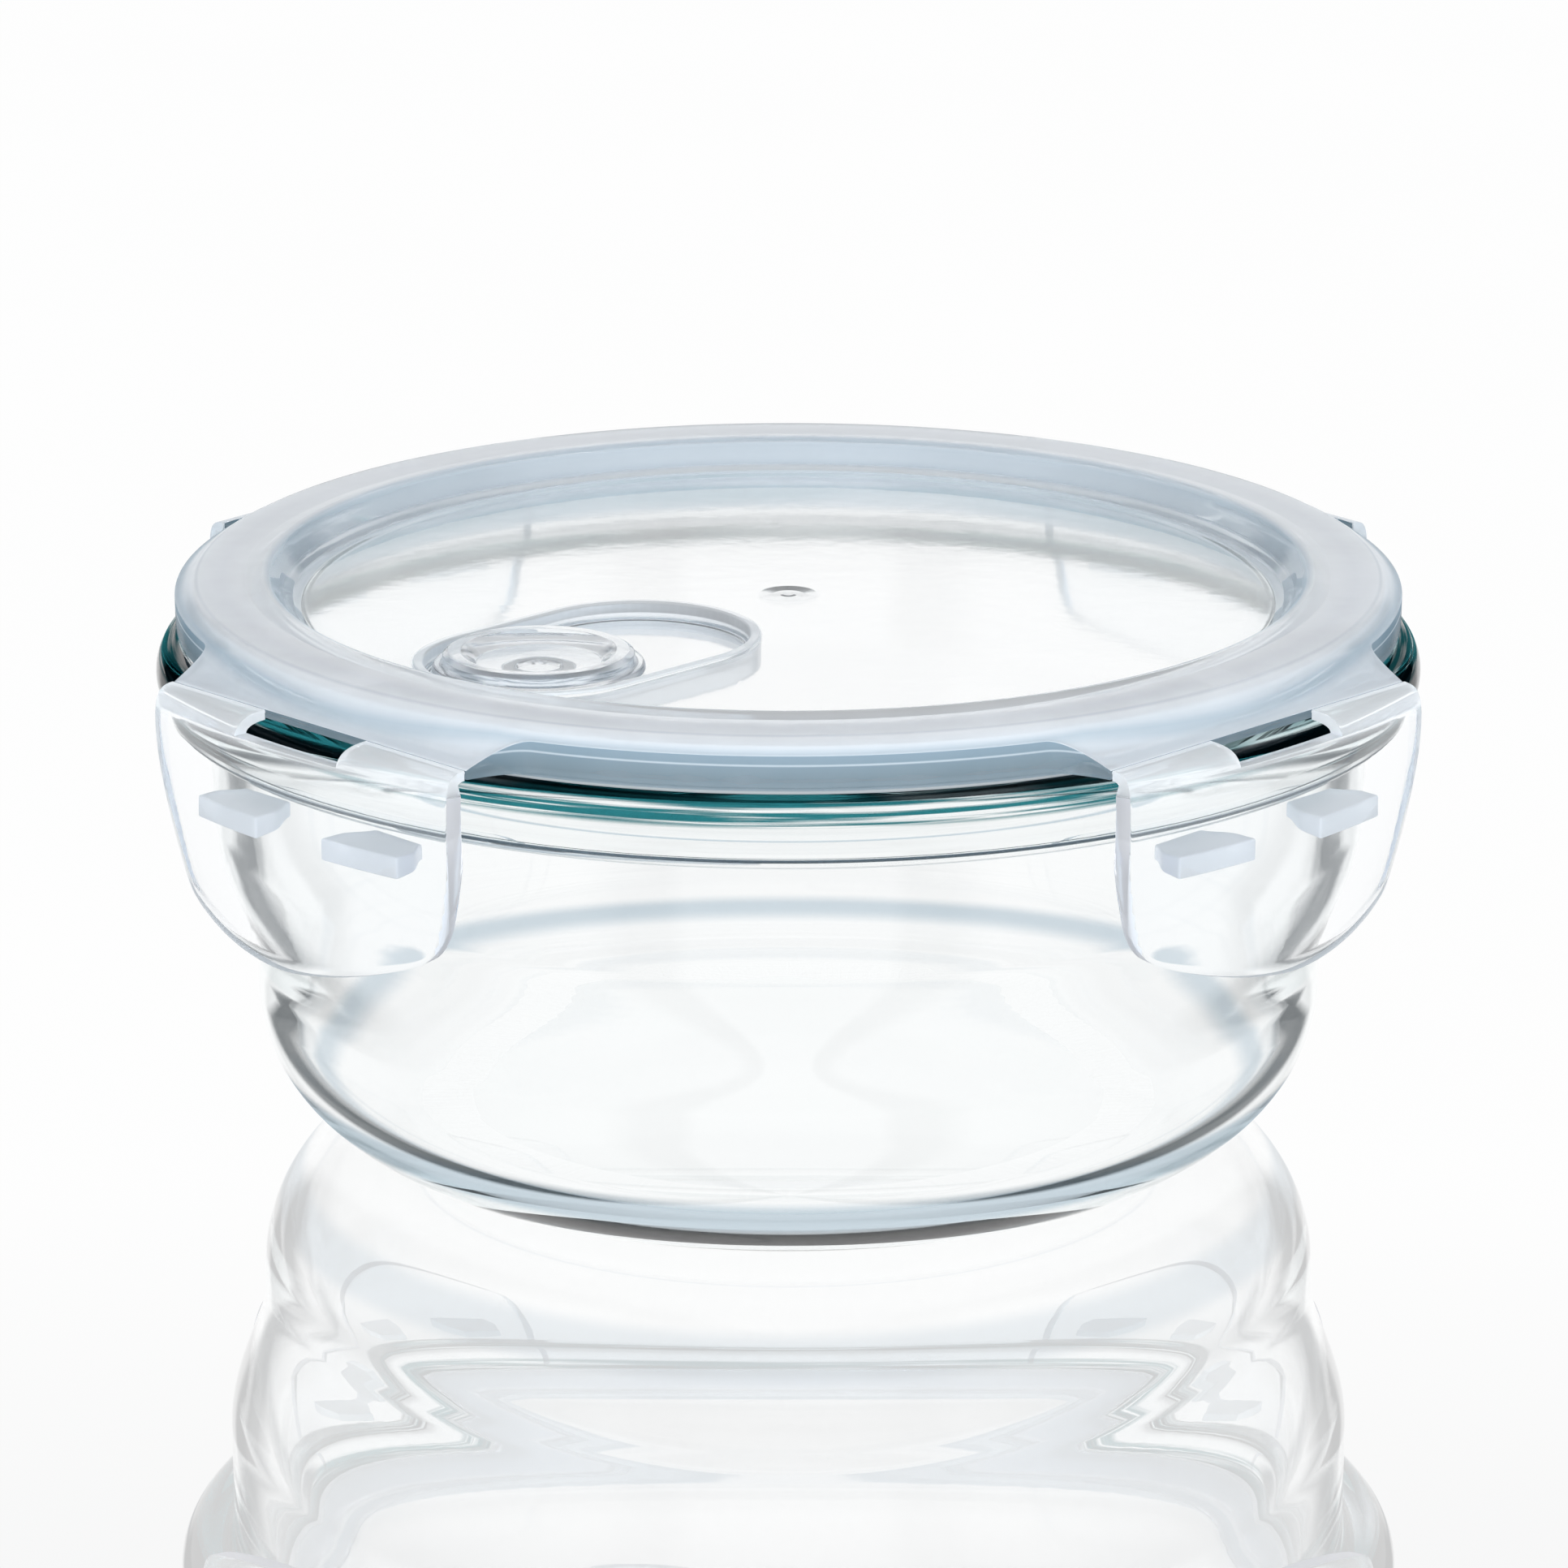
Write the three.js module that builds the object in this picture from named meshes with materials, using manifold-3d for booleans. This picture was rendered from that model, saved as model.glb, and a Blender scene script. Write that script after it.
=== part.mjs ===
// Round glass food container with a four-flap snap-lock lid, closed and standing on its foot.
// Millimetres, +Z up. The origin is the centre of the bowl's foot, on the table.
// The front is -Y. The flaps sit on the diagonals, and the vent lies beside the front left flap.
import * as THREE from "three";
import { mergeVertices } from "three/addons/utils/BufferGeometryUtils.js";
import Module from "manifold-3d";

// ---- Driving dimensions -------------------------------------------------------------------
const RING_SEGMENTS = 60; // facets round the bowl, the lid and the gasket
const GAP = 0.3; // clearance between neighbouring pieces

// Glass bowl
const FOOT_RADIUS = 50.4;
const FOOT_RING_WIDTH = 7;
const FOOT_HOLLOW = 0.6; // the base is pushed up this far inside the foot ring
const WAIST_RADIUS = 72.4; // outside of the wall, just above the rounded corner
const WAIST_HEIGHT = 21;
const WALL_TOP_RADIUS = 77.6; // outside of the wall under the flange
const FLARE_LOW = 24; // the wall flares outwards between these two heights
const FLARE_HIGH = 44;
const WALL = 4.9;
const FLOOR = 5.5;
const INNER_CORNER_WIDTH = 15; // the cavity's rounded bottom corner
const INNER_CORNER_HEIGHT = 14;
const BEAD_RADIUS = 4.3; // the flange ends in a full round bead
const BEAD_CENTRE_RADIUS = 80.75;
const BEAD_FILLET_WIDTH = 1.2; // the wall sweeps out to the bead over this width and height
const BEAD_FILLET_HEIGHT = 1.6;
const RIM_HEIGHT = 69.4;
const MOUTH_RADIUS = 72.6;
const MOUTH_CHAMFER = 0.8;

// Lid moulding
const LID_TOP = 78;
const LID_RADIUS = 82.3;
const LID_WALL_BOTTOM = 70.8;
const LID_SKIN = 1.6;
const LID_WALL = 2.6; // the ring's outer wall, outside the gasket channel
const SHOULDER_DROP = 0.5; // the ring's flat top lies this much below its inner crest
const PANEL_TOP = 73.6;
const PANEL_RADIUS = 66.2;
const RECESS_RADIUS = 69.7;
const PLATEAU_RADIUS = 79.2; // outer edge of the ring's flat top
const SKIRT_RADIUS = 71.9; // inner skirt, which drops into the bowl's mouth
const SKIRT_BOTTOM = 66.5;
const GATE_RADIUS = 3.7; // round dimple left by the moulding gate
const GATE_DEPTH = 0.6;
const GATE_NUB_RADIUS = 0.8; // a small nub stands up in the middle of the dimple

// Living hinges and flaps
const HINGE_DISTANCE = 84.1; // from the axis to the straight hinge line
const HINGE_HEIGHT = 72.9;
const HINGE_HALF_WIDTH = 27.9;
const APRON_INNER_RADIUS = 80.2;
const APRON_HALF_ANGLE = THREE.MathUtils.degToRad(22.5);
const APRON_EDGE = 1.3; // thickness of the apron and the flap at the hinge
const APRON_SIDE_RISE = 1.6; // the apron's underside rises this much towards the ring
const APRON_CREST_DROP = 0.6; // the apron's top meets the ring this much below the lid's top
const APRON_FALL = 1.8; // exponent of the apron's fall from the ring to the hinge
const FLAP_SIDE_LENGTH = 24.4; // length of the flap's sides
const FLAP_BOTTOM_BOW = 6.6; // the lower edge bows down this much further in the middle
const FLAP_BOW_WIDTH = 1.7; // exponents that shape the bowed lower edge
const FLAP_BOW_FULLNESS = 0.9;
const FLAP_CORNER = 5; // radius of the rounded lower corners
const FLAP_THICKNESS = 2.4;
const FLAP_SHOULDER = 1.2; // the outer face turns down over about this height at the hinge
const FLAP_BULGE_MIDDLE = 6.7; // how far the outer face stands out from the hinge line
const FLAP_BULGE_SIDE = 3.6;
const FLAP_TUCK_SIDE = 2.5; // the lower corners tuck back in towards the bowl
const FLAP_NARROWING = 0.07; // the flap is this share narrower at the bottom
const SLOT_HALF_WIDTH = 9.7; // opening in the middle of the hinge
const SLOT_DEPTH = 2.4;

// Catches: two shelves on each flap that hook under the glass flange
const CATCH_FROM = 6.1; // distance from the flap's centre line
const CATCH_TO = 18.7;
const CATCH_TIP = 80.8; // distance of the tip from the axis, square to the hinge line
const CATCH_TOP = 60.4;
const CATCH_ROOT_BOTTOM = 57.5;
const CATCH_TIP_BOTTOM = 58.4;
const CATCH_CHAMFER = 2;

// Gasket, in the channel between the lid's outer wall and inner skirt
const GASKET_INNER = 73;
const GASKET_OUTER = 79.2;
const LIP_WIDTH = 1.4; // the two sealing lips
const LIP_HEIGHT = 1.2;
const LIP_SLOPE = 0.7;
const CHANNEL_TOP = 75.8;

// Vent: a round cap in a long shallow well, on the front left diagonal
const WELL_RADIUS = 16.4;
const WELL_WALL = 1.35;
const WELL_OUTER_CENTRE = 45.9; // distances of the two end arcs' centres from the axis
const WELL_INNER_CENTRE = 28.3;
const WELL_FLOOR_TOP = 71.9;
const WELL_FLOOR_BOTTOM = 70.4;
const WELL_LIP = 0.25;
const WELL_SKIRT_BOTTOM = 68;
const VENT_HOLE_RADIUS = 5;
const CAP_RADIUS = 14;
const CAP_STEM_RADIUS = 3;
const CAP_HEAD_RADIUS = 4.1;
const CAP_HEAD_BOTTOM = 68.6;
const CAP_HEAD_HEIGHT = 0.7;
const CAP_RIM_HEIGHT = 73.4;
const CAP_RING_HEIGHT = 75; // the grip ring stands up between the rim and the dished middle

const FLAPS = [
  { name: "front_left", degrees: 225 },
  { name: "front_right", degrees: 315 },
  { name: "back_right", degrees: 45 },
  { name: "back_left", degrees: 135 },
];
const VENT_ANGLE = THREE.MathUtils.degToRad(225);

// ---- Helpers ------------------------------------------------------------------------------
const wasm = await Module();
wasm.setup();

// A closed geometry as a manifold-3d solid.
function toSolid(geometry) {
  const bare = geometry.clone();
  bare.deleteAttribute("normal");
  bare.deleteAttribute("uv");
  const merged = mergeVertices(bare, 1e-4);
  return new wasm.Manifold(
    new wasm.Mesh({
      numProp: 3,
      vertProperties: merged.attributes.position.array,
      triVerts: new Uint32Array(merged.index.array),
    }),
  );
}

function toGeometry(solid) {
  const { vertProperties, triVerts } = solid.getMesh();
  const geometry = new THREE.BufferGeometry();
  geometry.setAttribute("position", new THREE.BufferAttribute(vertProperties, 3));
  geometry.setIndex(new THREE.BufferAttribute(triVerts, 1));
  geometry.computeVertexNormals();
  return geometry;
}

// Points [radius, height] turned about the Z axis. The profile runs anticlockwise.
function turned(profile, segments = RING_SEGMENTS) {
  const points = profile.map(([radius, height]) => new THREE.Vector2(radius, height));
  return new THREE.LatheGeometry(points, segments).rotateX(Math.PI / 2);
}

// Points on an arc or ellipse, from one angle to another in degrees.
function arc(centre, radii, from, to, count) {
  return Array.from({ length: count + 1 }, (_, i) => {
    const angle = THREE.MathUtils.degToRad(from + ((to - from) * i) / count);
    return [
      centre[0] + radii[0] * Math.cos(angle),
      centre[1] + radii[1] * Math.sin(angle),
    ];
  });
}

// A closed slab between two sheets, each a function of u and v from 0 to 1.
// The first sheet faces out where u, v and its outward side are right-handed.
function slab(faceOut, faceIn, columns, rows) {
  const positions = [];
  const triangles = [];
  for (const sheet of [faceOut, faceIn])
    for (let j = 0; j <= rows; j++)
      for (let i = 0; i <= columns; i++)
        positions.push(...sheet(i / columns, j / rows));
  const layer = (columns + 1) * (rows + 1);
  const at = (side, i, j) => side * layer + j * (columns + 1) + i;
  const quad = (a, b, c, d) => triangles.push(a, b, c, a, c, d);
  for (let j = 0; j < rows; j++)
    for (let i = 0; i < columns; i++) {
      quad(at(0, i, j), at(0, i + 1, j), at(0, i + 1, j + 1), at(0, i, j + 1));
      quad(at(1, i, j), at(1, i, j + 1), at(1, i + 1, j + 1), at(1, i + 1, j));
    }
  for (let i = 0; i < columns; i++) {
    quad(at(0, i, 0), at(1, i, 0), at(1, i + 1, 0), at(0, i + 1, 0));
    quad(at(0, i, rows), at(0, i + 1, rows), at(1, i + 1, rows), at(1, i, rows));
  }
  for (let j = 0; j < rows; j++) {
    quad(at(0, 0, j), at(0, 0, j + 1), at(1, 0, j + 1), at(1, 0, j));
    quad(at(0, columns, j), at(1, columns, j), at(1, columns, j + 1), at(0, columns, j + 1));
  }
  const geometry = new THREE.BufferGeometry();
  geometry.setAttribute("position", new THREE.Float32BufferAttribute(positions, 3));
  geometry.setIndex(triangles);
  return geometry;
}

// A long round-ended prism in the vent's own frame: +X points away from the lid's centre.
function runway(radius, bottom, top) {
  const outline = new THREE.Shape();
  outline.absarc(WELL_OUTER_CENTRE, 0, radius, -Math.PI / 2, Math.PI / 2, false);
  outline.absarc(WELL_INNER_CENTRE, 0, radius, Math.PI / 2, (3 * Math.PI) / 2, false);
  const options = { depth: top - bottom, bevelEnabled: false, curveSegments: 16 };
  return new THREE.ExtrudeGeometry(outline, options)
    .translate(0, 0, bottom)
    .rotateZ(VENT_ANGLE);
}

// ---- Materials ----------------------------------------------------------------------------
const glass = new THREE.MeshStandardMaterial({
  color: 0xd9ece8,
  roughness: 0.05,
  metalness: 0,
  transparent: true,
  opacity: 0.35,
});
const lidPlastic = new THREE.MeshStandardMaterial({
  color: 0xc9d3de,
  roughness: 0.25,
  metalness: 0,
  transparent: true,
  opacity: 0.6,
});
const silicone = new THREE.MeshStandardMaterial({
  color: 0xb9c0c4,
  roughness: 0.55,
  metalness: 0,
});

const container = new THREE.Group();

function addPiece(name, geometry, material, parent = container) {
  const mesh = new THREE.Mesh(geometry, material);
  mesh.name = name;
  parent.add(mesh);
}

// ---- Glass bowl ---------------------------------------------------------------------------
function outerWallRadius(height) {
  const share = THREE.MathUtils.smoothstep(height, FLARE_LOW, FLARE_HIGH);
  return THREE.MathUtils.lerp(WAIST_RADIUS, WALL_TOP_RADIUS, share);
}

function bowlProfile() {
  const beadCentre = RIM_HEIGHT - BEAD_RADIUS;
  const cornerWidth = WAIST_RADIUS - FOOT_RADIUS;
  const flareHeights = [0, 0.25, 0.5, 0.75, 1].map((share) =>
    THREE.MathUtils.lerp(FLARE_LOW, FLARE_HIGH, share),
  );
  const innerCorner = [WAIST_RADIUS - WALL - INNER_CORNER_WIDTH, FLOOR + INNER_CORNER_HEIGHT];
  return [
    [0, FOOT_HOLLOW],
    [FOOT_RADIUS - FOOT_RING_WIDTH, 0],
    ...arc([FOOT_RADIUS, WAIST_HEIGHT], [cornerWidth, WAIST_HEIGHT], -90, 0, 6),
    ...flareHeights.map((height) => [outerWallRadius(height), height]),
    [WALL_TOP_RADIUS, RIM_HEIGHT - 2 * BEAD_RADIUS - BEAD_FILLET_HEIGHT],
    [WALL_TOP_RADIUS + BEAD_FILLET_WIDTH, RIM_HEIGHT - 2 * BEAD_RADIUS],
    ...arc([BEAD_CENTRE_RADIUS, beadCentre], [BEAD_RADIUS, BEAD_RADIUS], -90, 90, 6),
    [MOUTH_RADIUS + MOUTH_CHAMFER, RIM_HEIGHT],
    [MOUTH_RADIUS, RIM_HEIGHT - MOUTH_CHAMFER],
    ...flareHeights.toReversed().map((height) => [outerWallRadius(height) - WALL, height]),
    ...arc(innerCorner, [INNER_CORNER_WIDTH, INNER_CORNER_HEIGHT], 0, -90, 6),
    [0, FLOOR],
  ];
}

addPiece("glass_bowl", turned(bowlProfile()), glass);

// ---- Lid: ring, channel, panel, four aprons and the vent well ------------------------------
function lidProfile() {
  const panelBottom = PANEL_TOP - LID_SKIN;
  const channelOuter = LID_RADIUS - LID_WALL;
  return [
    [0, panelBottom],
    [PANEL_RADIUS - 1.2, panelBottom],
    [SKIRT_RADIUS - LID_SKIN, LID_TOP - 4.2],
    [SKIRT_RADIUS - LID_SKIN, SKIRT_BOTTOM],
    [SKIRT_RADIUS - 0.4, SKIRT_BOTTOM],
    [SKIRT_RADIUS, SKIRT_BOTTOM + 1],
    [SKIRT_RADIUS, CHANNEL_TOP],
    [channelOuter, CHANNEL_TOP],
    [channelOuter, LID_WALL_BOTTOM],
    [LID_RADIUS - 1.1, LID_WALL_BOTTOM],
    [LID_RADIUS - 0.5, LID_TOP - 3.7],
    [LID_RADIUS, LID_TOP - 3.6],
    [LID_RADIUS, LID_TOP - 2.2],
    [LID_RADIUS - 0.8, LID_TOP - 1.2],
    [PLATEAU_RADIUS, LID_TOP - SHOULDER_DROP],
    [RECESS_RADIUS + 3.3, LID_TOP - SHOULDER_DROP],
    [RECESS_RADIUS + 1, LID_TOP],
    [RECESS_RADIUS, LID_TOP - 0.2],
    [RECESS_RADIUS - 1.4, LID_TOP - 1.6],
    [PANEL_RADIUS + 0.4, PANEL_TOP + 0.7],
    [PANEL_RADIUS - 0.8, PANEL_TOP],
    [0, PANEL_TOP],
  ];
}

// The apron carries the ring's shoulder out to a straight hinge line. Its sides sweep in.
function apron(angle) {
  const plan = (u, v) => {
    const across = 2 * u - 1;
    const sweep = 1 - (1 - v) ** 2;
    const ring = [
      APRON_INNER_RADIUS * Math.cos(APRON_HALF_ANGLE * across),
      APRON_INNER_RADIUS * Math.sin(APRON_HALF_ANGLE * across),
    ];
    return [
      THREE.MathUtils.lerp(ring[0], HINGE_DISTANCE, v),
      THREE.MathUtils.lerp(ring[1], HINGE_HALF_WIDTH * across, sweep),
    ];
  };
  const fall = LID_TOP - APRON_CREST_DROP - HINGE_HEIGHT;
  const top = (v) => HINGE_HEIGHT + fall * (1 - v) ** APRON_FALL;
  const bottom = (v) => HINGE_HEIGHT - APRON_EDGE + APRON_SIDE_RISE * (1 - v);
  return slab(
    (u, v) => [...plan(1 - u, v), top(v)],
    (u, v) => [...plan(1 - u, v), bottom(v)],
    12,
    6,
  ).rotateZ(angle);
}

function lidSolid() {
  let lid = toSolid(turned(lidProfile()));
  for (const flap of FLAPS)
    lid = lid.add(toSolid(apron(THREE.MathUtils.degToRad(flap.degrees))));
  const lipTop = PANEL_TOP + WELL_LIP;
  const wellInside = WELL_RADIUS - WELL_WALL;
  lid = lid.add(toSolid(runway(WELL_RADIUS, WELL_SKIRT_BOTTOM, lipTop)));
  lid = lid.subtract(toSolid(runway(wellInside, WELL_FLOOR_TOP, lipTop + 1)));
  lid = lid.subtract(toSolid(runway(wellInside, WELL_SKIRT_BOTTOM - 1, WELL_FLOOR_BOTTOM)));
  const hole = new THREE.CylinderGeometry(VENT_HOLE_RADIUS, VENT_HOLE_RADIUS, 4, 32)
    .rotateX(Math.PI / 2)
    .translate(WELL_OUTER_CENTRE, 0, WELL_FLOOR_TOP - 1)
    .rotateZ(VENT_ANGLE);
  lid = lid.subtract(toSolid(hole));
  const dimple = turned(
    [
      [0, PANEL_TOP - GATE_DEPTH / 2],
      [GATE_NUB_RADIUS, PANEL_TOP - GATE_DEPTH / 2],
      [GATE_NUB_RADIUS + 0.1, PANEL_TOP - GATE_DEPTH],
      [GATE_RADIUS - 0.5, PANEL_TOP - GATE_DEPTH],
      [GATE_RADIUS, PANEL_TOP + 0.5],
      [0, PANEL_TOP + 0.5],
    ],
    24,
  );
  return lid.subtract(toSolid(dimple));
}

addPiece("lid", toGeometry(lidSolid()), lidPlastic);

// ---- Gasket: a soft ring with two sealing lips on the glass --------------------------------
function gasketProfile() {
  const bottom = RIM_HEIGHT + GAP;
  const top = CHANNEL_TOP - GAP;
  return [
    [GASKET_INNER, bottom],
    [GASKET_INNER + LIP_WIDTH, bottom],
    [GASKET_INNER + LIP_WIDTH + LIP_SLOPE, bottom + LIP_HEIGHT],
    [GASKET_OUTER - LIP_WIDTH - LIP_SLOPE, bottom + LIP_HEIGHT],
    [GASKET_OUTER - LIP_WIDTH, bottom],
    [GASKET_OUTER, bottom],
    [GASKET_OUTER, top - 1],
    [GASKET_OUTER - 1, top],
    [GASKET_INNER + 1, top],
    [GASKET_INNER, top - 1],
    [GASKET_INNER, bottom],
  ];
}

addPiece("lid_gasket", turned(gasketProfile()), silicone);

// ---- Vent: pull-up cap and the soft sleeve round its stem ----------------------------------
function capProfile() {
  const underside = WELL_FLOOR_TOP + GAP;
  return [
    [0, CAP_HEAD_BOTTOM],
    [CAP_HEAD_RADIUS, CAP_HEAD_BOTTOM],
    [CAP_HEAD_RADIUS, CAP_HEAD_BOTTOM + CAP_HEAD_HEIGHT],
    [CAP_STEM_RADIUS, CAP_HEAD_BOTTOM + CAP_HEAD_HEIGHT],
    [CAP_STEM_RADIUS, underside],
    [CAP_RADIUS - 0.4, underside],
    [CAP_RADIUS, underside + 0.5],
    [CAP_RADIUS - 0.3, CAP_RIM_HEIGHT],
    [CAP_RADIUS - 1.3, CAP_RIM_HEIGHT],
    [CAP_RADIUS - 1.5, CAP_RING_HEIGHT - 0.4],
    [CAP_RADIUS - 2.2, CAP_RING_HEIGHT],
    [CAP_RADIUS - 3.8, CAP_RING_HEIGHT],
    [CAP_RADIUS - 4.6, CAP_RING_HEIGHT - 0.5],
    [CAP_RADIUS - 5.8, CAP_RIM_HEIGHT + 0.1],
    [CAP_RADIUS / 4, CAP_RIM_HEIGHT - 0.25],
    [0, CAP_RIM_HEIGHT - 0.3],
  ];
}

function sealProfile() {
  const inner = CAP_STEM_RADIUS + GAP;
  const outer = VENT_HOLE_RADIUS - GAP;
  const bottom = CAP_HEAD_BOTTOM + CAP_HEAD_HEIGHT + GAP;
  const top = WELL_FLOOR_TOP;
  return [
    [inner, bottom],
    [outer - 0.5, bottom],
    [outer, bottom + 0.6],
    [outer, top],
    [inner, top],
    [inner, bottom],
  ];
}

const vent = new THREE.Group();
vent.position.set(
  WELL_OUTER_CENTRE * Math.cos(VENT_ANGLE),
  WELL_OUTER_CENTRE * Math.sin(VENT_ANGLE),
  0,
);
container.add(vent);
addPiece("vent_cap", turned(capProfile(), 36), lidPlastic, vent);
addPiece("vent_seal", turned(sealProfile(), 24), silicone, vent);

// ---- Flaps and catches, each in a frame whose +X points straight out from the lid ----------
function flapLength(across) {
  const bow = (1 - Math.abs(across) ** FLAP_BOW_WIDTH) ** FLAP_BOW_FULLNESS;
  const fromEdge = HINGE_HALF_WIDTH * (1 - Math.abs(across));
  const intoCorner = Math.max(0, 1 - fromEdge / FLAP_CORNER);
  const corner = FLAP_CORNER * (1 - Math.sqrt(1 - intoCorner ** 2));
  return FLAP_SIDE_LENGTH + FLAP_BOTTOM_BOW * bow - corner;
}

// A point on the flap's outer face: distance from the axis, sideways, height. Across is -1 to 1.
function flapFace(across, drop) {
  const share = drop / flapLength(across);
  const bulge = THREE.MathUtils.lerp(FLAP_BULGE_MIDDLE, FLAP_BULGE_SIDE, across ** 2);
  const shoulder = Math.sqrt(drop / (drop + FLAP_SHOULDER));
  const tuck = FLAP_TUCK_SIDE * across ** 2 * share ** 2;
  const width = HINGE_HALF_WIDTH * (1 - FLAP_NARROWING * share ** 3);
  return [HINGE_DISTANCE + GAP + bulge * shoulder - tuck, width * across, HINGE_HEIGHT - drop];
}

function flap() {
  const rowsNearHinge = [0, 0.12, 0.5, 1.4, 3.2, 6.5];
  const rowsBelow = 6;
  const rows = rowsNearHinge.length - 1 + rowsBelow;
  const columns = 16;
  const place = (u, v) => {
    const across = Math.sin((u - 0.5) * Math.PI);
    const length = flapLength(across);
    const row = Math.round(v * rows);
    const near = rowsNearHinge.length - 1;
    const last = rowsNearHinge[near];
    const drop =
      row <= near ? rowsNearHinge[row] : last + ((length - last) * (row - near)) / rowsBelow;
    return [across, drop];
  };
  const outer = (u, v) => flapFace(...place(u, v));
  // The inner face is the outer one moved square to itself, and never back past the hinge.
  const inner = (u, v) => {
    const [across, drop] = place(u, v);
    const [distance, sideways, height] = flapFace(across, drop);
    const step = 0.05;
    const [below] = flapFace(across, drop + step);
    const slope = (below - distance) / step;
    const thickness = APRON_EDGE + (FLAP_THICKNESS - APRON_EDGE) * Math.min(1, drop / 3);
    const scale = thickness / Math.hypot(1, slope);
    return [
      Math.max(distance - scale, HINGE_DISTANCE + GAP),
      sideways,
      height - scale * slope,
    ];
  };
  const slot = new THREE.BoxGeometry(12, 2 * SLOT_HALF_WIDTH, 2 * SLOT_DEPTH).translate(
    HINGE_DISTANCE + 3,
    0,
    HINGE_HEIGHT,
  );
  const body = toSolid(slab((u, v) => outer(u, 1 - v), (u, v) => inner(u, 1 - v), columns, rows));
  return toGeometry(body.subtract(toSolid(slot)));
}

// A shelf that thins towards the glass, with its corners cut off.
function catchShelf(side) {
  const middle = (CATCH_FROM + CATCH_TO) / 2;
  const halfWidth = (CATCH_TO - CATCH_FROM) / 2;
  const rootDistance = (sideways) => {
    const across = sideways / HINGE_HALF_WIDTH;
    return flapFace(across, HINGE_HEIGHT - CATCH_TOP)[0] - FLAP_THICKNESS - GAP;
  };
  const plan = (u, v) => {
    const narrowed = halfWidth - CATCH_CHAMFER * THREE.MathUtils.smoothstep(v, 0.4, 1);
    const sideways = side * middle + narrowed * (2 * u - 1);
    return [THREE.MathUtils.lerp(rootDistance(sideways), CATCH_TIP, v), sideways];
  };
  return slab(
    (u, v) => [...plan(u, v), CATCH_TOP],
    (u, v) => [...plan(u, v), THREE.MathUtils.lerp(CATCH_ROOT_BOTTOM, CATCH_TIP_BOTTOM, v)],
    2,
    4,
  );
}

for (const { name, degrees } of FLAPS) {
  const group = new THREE.Group();
  group.rotation.z = THREE.MathUtils.degToRad(degrees);
  container.add(group);
  addPiece("flap_" + name, flap(), lidPlastic, group);
  addPiece("catch_" + name + "_1", catchShelf(-1), lidPlastic, group);
  addPiece("catch_" + name + "_2", catchShelf(1), lidPlastic, group);
}

export default container;
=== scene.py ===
"""Round glass food container with a four-flap snap-lock lid, closed, on a pale glossy table.

Every piece is drawn in millimetres in the part's own frame (+Z up, -Y to the front, origin under
the bowl's foot) and scaled to metres when its mesh is made.
"""
import math

import bmesh
import bpy
from mathutils import Matrix, Vector


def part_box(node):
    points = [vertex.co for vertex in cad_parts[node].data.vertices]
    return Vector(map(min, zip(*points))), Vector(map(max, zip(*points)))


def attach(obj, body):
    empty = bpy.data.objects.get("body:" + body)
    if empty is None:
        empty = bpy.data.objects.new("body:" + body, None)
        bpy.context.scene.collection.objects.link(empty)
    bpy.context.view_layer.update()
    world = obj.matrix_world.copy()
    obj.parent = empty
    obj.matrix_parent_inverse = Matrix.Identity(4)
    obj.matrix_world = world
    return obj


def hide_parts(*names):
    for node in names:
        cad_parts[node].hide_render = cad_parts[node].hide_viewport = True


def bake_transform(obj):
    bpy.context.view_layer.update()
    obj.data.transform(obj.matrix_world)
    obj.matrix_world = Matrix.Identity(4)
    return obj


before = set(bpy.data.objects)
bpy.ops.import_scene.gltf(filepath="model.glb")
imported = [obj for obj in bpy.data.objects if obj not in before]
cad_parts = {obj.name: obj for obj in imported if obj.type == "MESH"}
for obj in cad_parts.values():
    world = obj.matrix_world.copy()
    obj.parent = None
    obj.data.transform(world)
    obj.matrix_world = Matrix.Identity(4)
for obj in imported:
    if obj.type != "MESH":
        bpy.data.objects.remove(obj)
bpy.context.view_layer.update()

MM = 0.001


def node_size(node):
    """Lowest and highest corner of a CAD node, in millimetres."""
    low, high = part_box(node)
    return low / MM, high / MM


# ---- Driving dimensions, in millimetres, from the frame where it states them ----------------
# The sections further down add small offsets and fillet radii of their own to these.
_, bowl_high = node_size("glass_bowl")
lid_low, lid_high = node_size("lid")
gasket_low, gasket_high = node_size("lid_gasket")
cap_low, cap_high = node_size("vent_cap")
seal_low, seal_high = node_size("vent_seal")

RIM_HEIGHT = bowl_high.z
BEAD_RADIUS = 4.3
BEAD_CENTRE = bowl_high.x - BEAD_RADIUS
FOOT_RADIUS = 50.4
FOOT_RING = 7.0
FOOT_HOLLOW = 0.6
FOOT_FILLET = 3.0
WAIST_RADIUS = 72.4
WAIST_HEIGHT = 21.0
WALL_TOP_RADIUS = 77.6
FLARE_LOW, FLARE_HIGH = 24.0, 44.0
WALL = 4.9
FLOOR = 5.5
INNER_CORNER = (15.0, 14.0)  # width and height of the cavity's rounded corner
MOUTH_RADIUS = 72.6
MOUTH_FILLET = 1.6
MOUTH_DEPTH = 8.0  # the mouth is straight down to this depth
NECK_FILLET = 2.2
BEAD_FILLET_WIDTH = 1.2

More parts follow.
